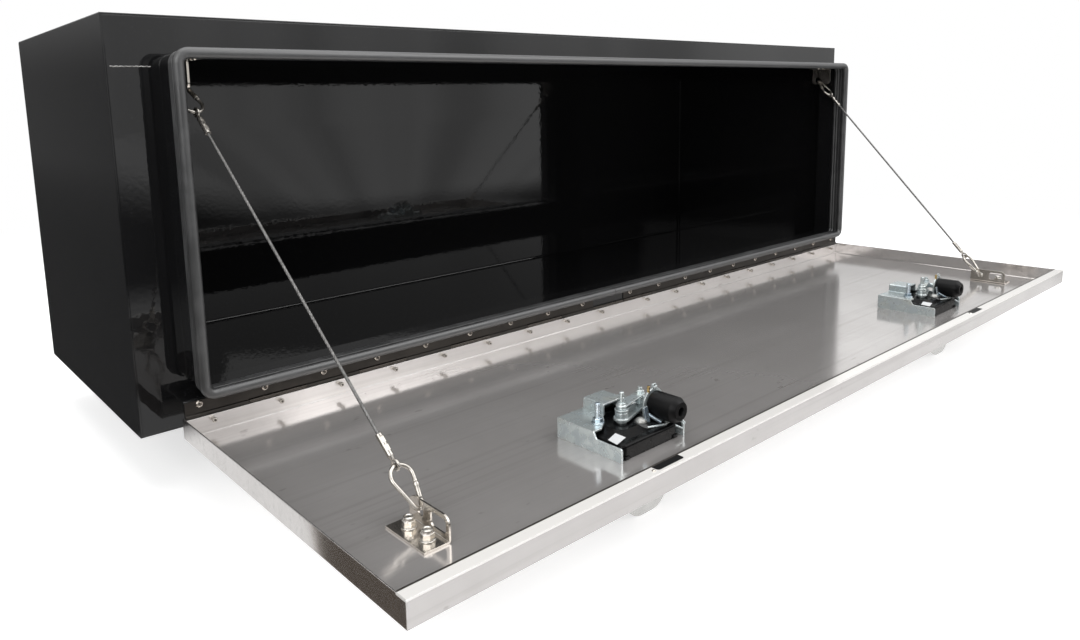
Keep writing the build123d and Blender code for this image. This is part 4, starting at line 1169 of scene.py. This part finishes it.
@dataclass
class Stay:
    """One wire stay: two snap hooks with gates, two ferrules and the rope between them."""

    side: Side
    rope: tuple[Point, Point, Point] = (
        (681.14, -265.72, -125.61), (662.74, -402.32, -266.8), (646.86, -520.13, -388.57)
    )
    rope_diameter: float = 3.2
    strands: int = 6
    strand_share: float = 0.34
    lay_length: float = 24.0
    seats: tuple[Point, Point] = ((688.0, -214.76, -72.94), (640.0, -571.08, -441.23))
    along: Point = (-0.0933, -0.6923, -0.7156)
    across: Point = (-0.991, 0.1335, 0.0)
    hook_length: float = 42.0
    narrow: float = 4.2
    wide: float = 11.4
    wire: float = 2.0
    gate_wire: float = 2.5
    gate_span: Pair = (0.12, 0.8)
    knuckle: Outline = ((1.4, -2.0), (2.9, -1.6), (3.0, 0.4), (2.4, 1.2))
    nose: Outline = ((1.4, -1.0), (2.3, -0.8), (2.3, 1.6), (1.6, 2.0))

    def dress(self) -> None:
        """Put finishes on the stay's CAD nodes."""
        stay_steel.dress(f"ferrule_low_{self.side.value}", f"ferrule_top_{self.side.value}")

    def mirrored(self, point: Point) -> Vector:
        """Return a point or direction of the right side on this side."""
        return Vector((point[0] * self.side.sign, point[1], point[2]))

    def line(self, start: Point, end: Point) -> list[Vector]:
        """Return points along one half of the rope, read from its spline.

        Args:
            start: where it starts, in millimetres on the right side.
            end: where it ends.

        Returns:
            The points in metres.
        """
        first, last = self.mirrored(start) / 1000, self.mirrored(end) / 1000
        data = bpy.data.curves.new("rope_route", "CURVE")
        data.dimensions = "3D"
        data.resolution_u = 24
        spline = data.splines.new("NURBS")
        spline.points.add(2)
        for held, point in zip(spline.points, (first, (first + last) / 2, last)):
            held.co = (*point, 1)
        spline.order_u = 3
        spline.use_endpoint_u = True
        holder = bpy.data.objects.new("rope_route", data)
        mesh = bpy.data.meshes.new_from_object(holder)
        points = [v.co.copy() for v in mesh.vertices]
        bpy.data.objects.remove(holder)
        bpy.data.curves.remove(data)
        bpy.data.meshes.remove(mesh)
        return points

    def lay_rope(self, half: str, start: Point, end: Point, body: str) -> None:
        """Lay the strands of one half of the rope round its core.

        Args:
            half: upper or lower.
            start: where it starts, in millimetres on the right side.
            end: where it ends.
            body: the body that it rides on.
        """
        points = self.line(start, end)
        length = sum((b - a).length for a, b in zip(points, points[1:]))
        along = (points[-1] - points[0]).normalized()
        side = along.orthogonal().normalized()
        up = along.cross(side)
        strand = self.rope_diameter / 2000 * self.strand_share
        ring = self.rope_diameter / 2000 - strand
        steps = round(length * 1000 / self.lay_length * 12)
        blank = Blank()
        blank.swept([points[0] + along * (length * n / 8) for n in range(9)], ring + strand * 0.5, sides=12)
        for k in range(self.strands):
            path = []
            for n in range(steps + 1):
                turn = 2 * pi * (k / self.strands + length * 1000 / self.lay_length * n / steps)
                path.append(points[0] + along * (length * n / steps) + (side * cos(turn) + up * sin(turn)) * ring)
            blank.swept(path, strand, sides=7)
        made = blank.piece(f"rope_{half}_{self.side.value}", rope_steel, body, "wire_rope")
        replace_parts(made, f"cable_{half}_{self.side.value}")

    def hook(self, name: str, seat: Point, sense: int, hook_body: str, gate_body: str) -> None:
        """Bend one snap hook and fit its gate.

        Args:
            name: top or low.
            seat: where the narrow end bears, in millimetres on the right side.
            sense: 1 where the hook runs down the stay and -1 where it runs up.
            hook_body: the hook's body.
            gate_body: the gate's body.
        """
        origin = self.mirrored(seat)
        run, out = self.mirrored(self.along) * sense, self.mirrored(self.across)
        lean = asin((self.wide - self.narrow) / (self.hook_length - self.wide - self.narrow))

        def local(x: float, y: float) -> Vector:
            """Return a place in the hook's plane, in metres."""
            return (origin + run * x + out * y) / 1000

        narrow = (self.narrow * (1 - sin(lean)), self.narrow * cos(lean))
        wide = (self.hook_length - self.wide * (1 + sin(lean)), self.wide * cos(lean))
        step = (wide[0] - narrow[0], wide[1] - narrow[1])
        first, last = [local(narrow[0] + step[0] * share, narrow[1] + step[1] * share) for share in self.gate_span]
        bends = arc((self.narrow, 0), self.narrow, pi / 2 + lean, pi - 2 * lean, 16)
        bends += arc((self.hook_length - self.wide, 0), self.wide, -pi / 2 - lean, pi + 2 * lean, 24)
        path = [first, *(local(*bend) for bend in bends), last]
        stem = f"{name}_{self.side.value}"
        wire = Blank()
        wire.swept(path, self.wire / 1000, sides=14)
        along_gate = (last - first).normalized()
        hinge, tip = standing(first, up=along_gate), standing(last, up=along_gate)
        wire.turned(self.knuckle, hinge, 16)
        wire.turned(self.nose, tip, 16)
        made = wire.piece(f"snap_hook_{stem}", stay_steel, hook_body, "stay_steel", crease=50)
        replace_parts(made, f"snap_{stem}")
        gate, reach, wire_radius = Blank(), (last - first).length * 1000, self.gate_wire
        profile = (
            (1.6, 1.6), (wire_radius, 2.2), (wire_radius, reach - 5.2), (2.9, reach - 4.6), (2.9, reach - 1.8),
            (2.3, reach - 1.2)
        )
        gate.turned(profile, hinge, 18)
        made = gate.piece(f"snap_keeper_{stem}", stay_steel, gate_body, "stay_steel")
        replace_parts(made, f"snap_gate_{stem}")

    def build(self) -> None:
        """Dress and detail the stay."""
        side = self.side.value
        start, fold, end = self.rope
        self.lay_rope("upper", start, fold, f"stay_upper_{side}")
        self.lay_rope("lower", fold, end, f"stay_lower_{side}")
        self.dress()
        self.hook("top", self.seats[0], 1, f"stay_upper_{side}", f"snap_gate_top_{side}")
        self.hook("low", self.seats[1], -1, f"snap_low_{side}", f"snap_gate_low_{side}")


@dataclass
class Latch:
    """One slam latch, seen from its inner side."""

    side: Side
    pivots: Pair = (-384.0, 368.0)
    row: float = -575.0
    floor: float = -455.5
    label: Route = (
        (-41.0, -29.4, 15.6), (-24.6, -26.6, 17.4), (-24.2, -12.4, 17.4), (-39.2, -15.6, 15.6)
    )
    label_rise: float = 0.25
    label_paper: float = 0.2
    cap: Point = (14.5, -14.0, 14.8)
    cap_radius: float = 6.5
    cap_height: float = 0.7
    cap_foot: Pair = (3.6, 4.6)
    mound: Outline = (
        (22.0, -6.0), (18.0, -2.6), (14.0, 0.0), (11.0, 2.0), (9.0, 3.6), (7.6, 4.6), (6.8, 4.7)
    )
    cup_foot_columns: Pair = (-34.0, 43.0)
    roller_profile: Outline = (
        (5.0, 0.0), (13.4, 0.0), (14.0, 0.6), (14.1, 28.4), (13.8, 29.2), (10.6, 34.4), (9.8, 35.0), (5.2, 35.0),
        (4.8, 34.4), (4.6, 27.0), (0.2, 27.0)
    )
    link: Pair = (42.0, 10.0)
    link_level: float = 33.0
    link_radii: Pair = (6.2, 5.4)
    collar: Outline = (
        (2.7, -2.7), (5.6, -2.7), (5.6, -1.4), (7.4, -1.2), (7.4, 0.4), (5.0, 0.8), (4.6, 1.2), (4.6, 7.2),
        (4.2, 7.6), (2.7, 7.6)
    )
    strut: Route = (
        (16.6, -20.6, 16.0), (20.2, -20.4, 14.6), (23.6, -19.6, 16.6), (23.6, -15.2, 34.5), (17.0, -16.2, 34.5)
    )
    rod: Route = ((25.5, -14.2, 24.5), (29.4, -20.4, 20.4), (33.0, -26.0, 17.0))
    foot_rim: Route = ((13.0, -24.0, 16.2), (24.0, -28.4, 16.2), (33.5, -31.6, 16.2), (36.5, -31.0, 16.6))
    foot_tip: Route = (
        (38.0, -27.5, 17.0), (46.0, -33.0, 12.4), (54.5, -38.2, 7.4), (58.2, -37.4, 12.8), (56.4, -33.0, 16.8)
    )
    stud: Point = (-25.0, 11.0, 21.8)
    stud_washer: Outline = ((3.0, 0.0), (6.6, 0.0), (6.8, 0.3), (6.8, 1.0), (6.5, 1.2), (3.0, 1.2))
    stud_nut: float = 5.4
    thread_pitch: float = 0.45
    thread_radii: Pair = (3.15, 2.85)
    lug: Point = (43.0, -9.0, 47.0)

    def dress(self) -> None:
        """Put finishes on the latch's CAD nodes."""
        side = self.side.value
        for stem in ("latch_housing", "latch_lever", "latch_bolt", "latch_guide"):
            zinc_plate.dress(f"{stem}_{side}")
        latch_black.dress(f"latch_cup_{side}", f"latch_bezel_{side}")
        handle_steel.dress(f"latch_handle_{side}")
        roller_rubber.dress(f"latch_roller_{side}")

    def at(self, x: float = 0, y: float = 0, rise: float = 0) -> Vector:
        """Return a place measured from the lever's pivot on the pan, in metres."""
        return mm(self.pivots[0 if self.side is Side.LEFT else 1] + x, self.row + y, self.floor + rise)

    def name(self, stem: str) -> str:
        """Return a piece's name on this side."""
        return f"{stem}_{self.side.value}"

    def plate(self, blank: Blank, corners: Route, thickness: float) -> None:
        """Add a flat plate between corners.

        Args:
            blank: what it is added to.
            corners: its corners from the pivot, anticlockwise seen from outside.
            thickness: its thickness in millimetres.
        """
        points = [self.at(*corner) for corner in corners]
        out = (points[1] - points[0]).cross(points[2] - points[0]).normalized() * (thickness / 1000)
        blank.rows([[p - out for p in points], points])

    def blank_label(self) -> None:
        """Stick the white label, left blank, on the cup's slope."""
        blank = Blank()
        raised = [(x, y, z + self.label_rise) for x, y, z in self.label]
        self.plate(blank, raised, self.label_paper)
        blank.piece(self.name("blank_label"), label_white, "door", "latch_black")

    def cup_details(self) -> None:
        """Add the silver cap, the mound under it and the cup's corner feet."""
        at, (foot, base), radius = Matrix.Translation(self.at(*self.cap)), self.cap_foot, self.cap_radius
        mound = Blank()
        mound.turned(self.mound, at, 40)
        mound.piece(self.name("cup_mound"), mound_black, "door", "latch_black", crease=50)
        cap, height = Blank(), radius * self.cap_height
        turns = [pi / 2 * n / 7 for n in range(7)]
        profile = [(radius * cos(turn), base + height * sin(turn)) for turn in turns]
        cap.turned([(radius, foot), *profile, (0.3, base + height)], at, 28)
        cap.piece(self.name("pivot_cap"), dull_cap, "door", "zinc", crease=60)
        feet = Blank()
        for column in self.cup_foot_columns:
            outline = rounded(column - 4, column + 4, -37.6, -34.8, 1.2, steps=3)
            feet.slab(outline, 0.0, 3.4, Matrix.Translation(self.at()), edge=0.5)
        feet.piece(self.name("cup_feet"), latch_black, "door", "latch_black")

    def rocker(self) -> None:
        """Add the two-step collar and the upper link on the lever."""
        base = Matrix.Translation(self.at())
        blank = Blank()
        level = self.link_level
        blank.turned([(r, level + z) for r, z in self.collar], base, 28)
        lean, (near, far) = atan2(self.link[1], self.link[0]), self.link_radii
        outline = arc((0, 0), near, lean + pi / 2, pi, 10) + arc(self.link, far, lean - pi / 2, pi, 10)
        blank.slab(outline, level + 3.2, level + 5.0, base, edge=0.3)
        blank.piece(self.name("upper_link"), zinc_plate, f"latch_lever_{self.side.value}", "zinc")

    def braces(self) -> None:
        """Add the strut, the spring rod and the folded feet in front of the guide, with a black web of painted shade
        between the feet.
        """
        strut = Blank()
        self.plate(strut, self.strut, 1.6)
        strut.piece(self.name("strut"), blue_zinc, "door", "zinc")
        rods = Blank()
        rods.swept([self.at(*point) for point in self.rod], 0.0021, sides=12)
        rods.piece(self.name("spring_rod"), blue_zinc, "door", "zinc")
        feet = Blank()
        feet.swept([self.at(*point) for point in self.foot_rim], 0.0013, sides=8)
        feet.swept([self.at(*point) for point in self.foot_tip], 0.0012, sides=8)
        feet.piece(self.name("foot_edges"), zinc_plate, "door", "zinc")
        # painted shade: a black plate fills the shaded hollow inside the folded feet
        shade_web = Blank()
        self.plate(shade_web, (self.foot_tip[0], *self.foot_tip[2:]), 0.8)
        shade_web.piece(self.name("foot_shade_web"), latch_black, "door", "zinc")

    def roller(self) -> None:
        """Turn the rubber roller with its worn chamfer and blind hole."""
        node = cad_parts[self.name("latch_roller")]
        corners = [node.matrix_world @ Vector(corner) for corner in node.bound_box]
        low, high = [Vector(pick(c[axis] for c in corners) for axis in range(3)) for pick in (min, max)]
        back = Vector(((low.x + high.x) / 2, high.y, (low.z + high.z) / 2))
        blank = Blank()
        blank.turned(self.roller_profile, standing(back, up=Vector((0, -1, 0))), 48)
        made = blank.piece(self.name("rubber_roller"), roller_rubber, f"latch_bolt_{self.side.value}", "roller_rubber")
        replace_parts(made, self.name("latch_roller"))

    def studs(self) -> None:
        """Add the tall stud with its washer and nut, and the lug on the guide with a dark disc of painted shade where
        its hole is.
        """
        base = Matrix.Translation(self.at(*self.stud))
        blank = Blank()
        blank.turned(self.stud_washer, base, 28)
        blank.slab(hexagon(self.stud_nut, 0.2), 1.2, 6.0, base, edge=0.5)
        threads = [(self.thread_radii[n % 2], 6.0 + n * self.thread_pitch) for n in range(34)]
        blank.turned((*threads, (2.9, 21.4), (2.2, 22.0)), base, 20)
        blank.piece(self.name("tall_stud"), blue_zinc, "door", "zinc")
        lug = Blank()
        at = standing(self.at(*self.lug), up=Vector((0, 1, 0)))
        lug.slab(rounded(-3.2, 3.2, -5.6, 0.6, 1.4, steps=3), 0.0, 1.8, at, edge=0.3)
        lug.piece(self.name("guide_lug"), zinc_plate, "door", "zinc")
        # painted shade: a dark disc stands in for the lug's hole
        hole = Blank()
        hole.turned(((1.3, -0.12), (1.2, 0.9)), at @ Matrix.Translation(mm(0, -3.4, 0)), 14)
        hole.piece(self.name("lug_hole_shade"), mandrel_and_shade_steel, "door", "zinc")

    def build(self) -> None:
        """Dress and detail the latch."""
        self.dress()
        self.blank_label()
        self.cup_details()
        self.rocker()
        self.braces()
        self.roller()
        self.studs()


@dataclass
class SharedHardware:
    """The small parts that one node holds for both latches."""

    zinc_nodes: tuple[str, ...] = ("latch_nuts", "latch_studs", "pivot_pins")

    def build(self) -> None:
        """Dress the shared small parts."""
        zinc_plate.dress(*self.zinc_nodes)
        handle_steel.dress("handle_pins")
        brass.dress("brass_pins")


def main() -> None:
    """Build the scene in order."""
    logging.basicConfig(level=logging.INFO, format="%(name)s %(message)s")
    Studio().build()
    Cabinet().build()
    Door().build()
    SharedHardware().build()
    for side in Side:
        Stay(side).build()
        Latch(side).build()


if __name__ == "__main__":
    main()
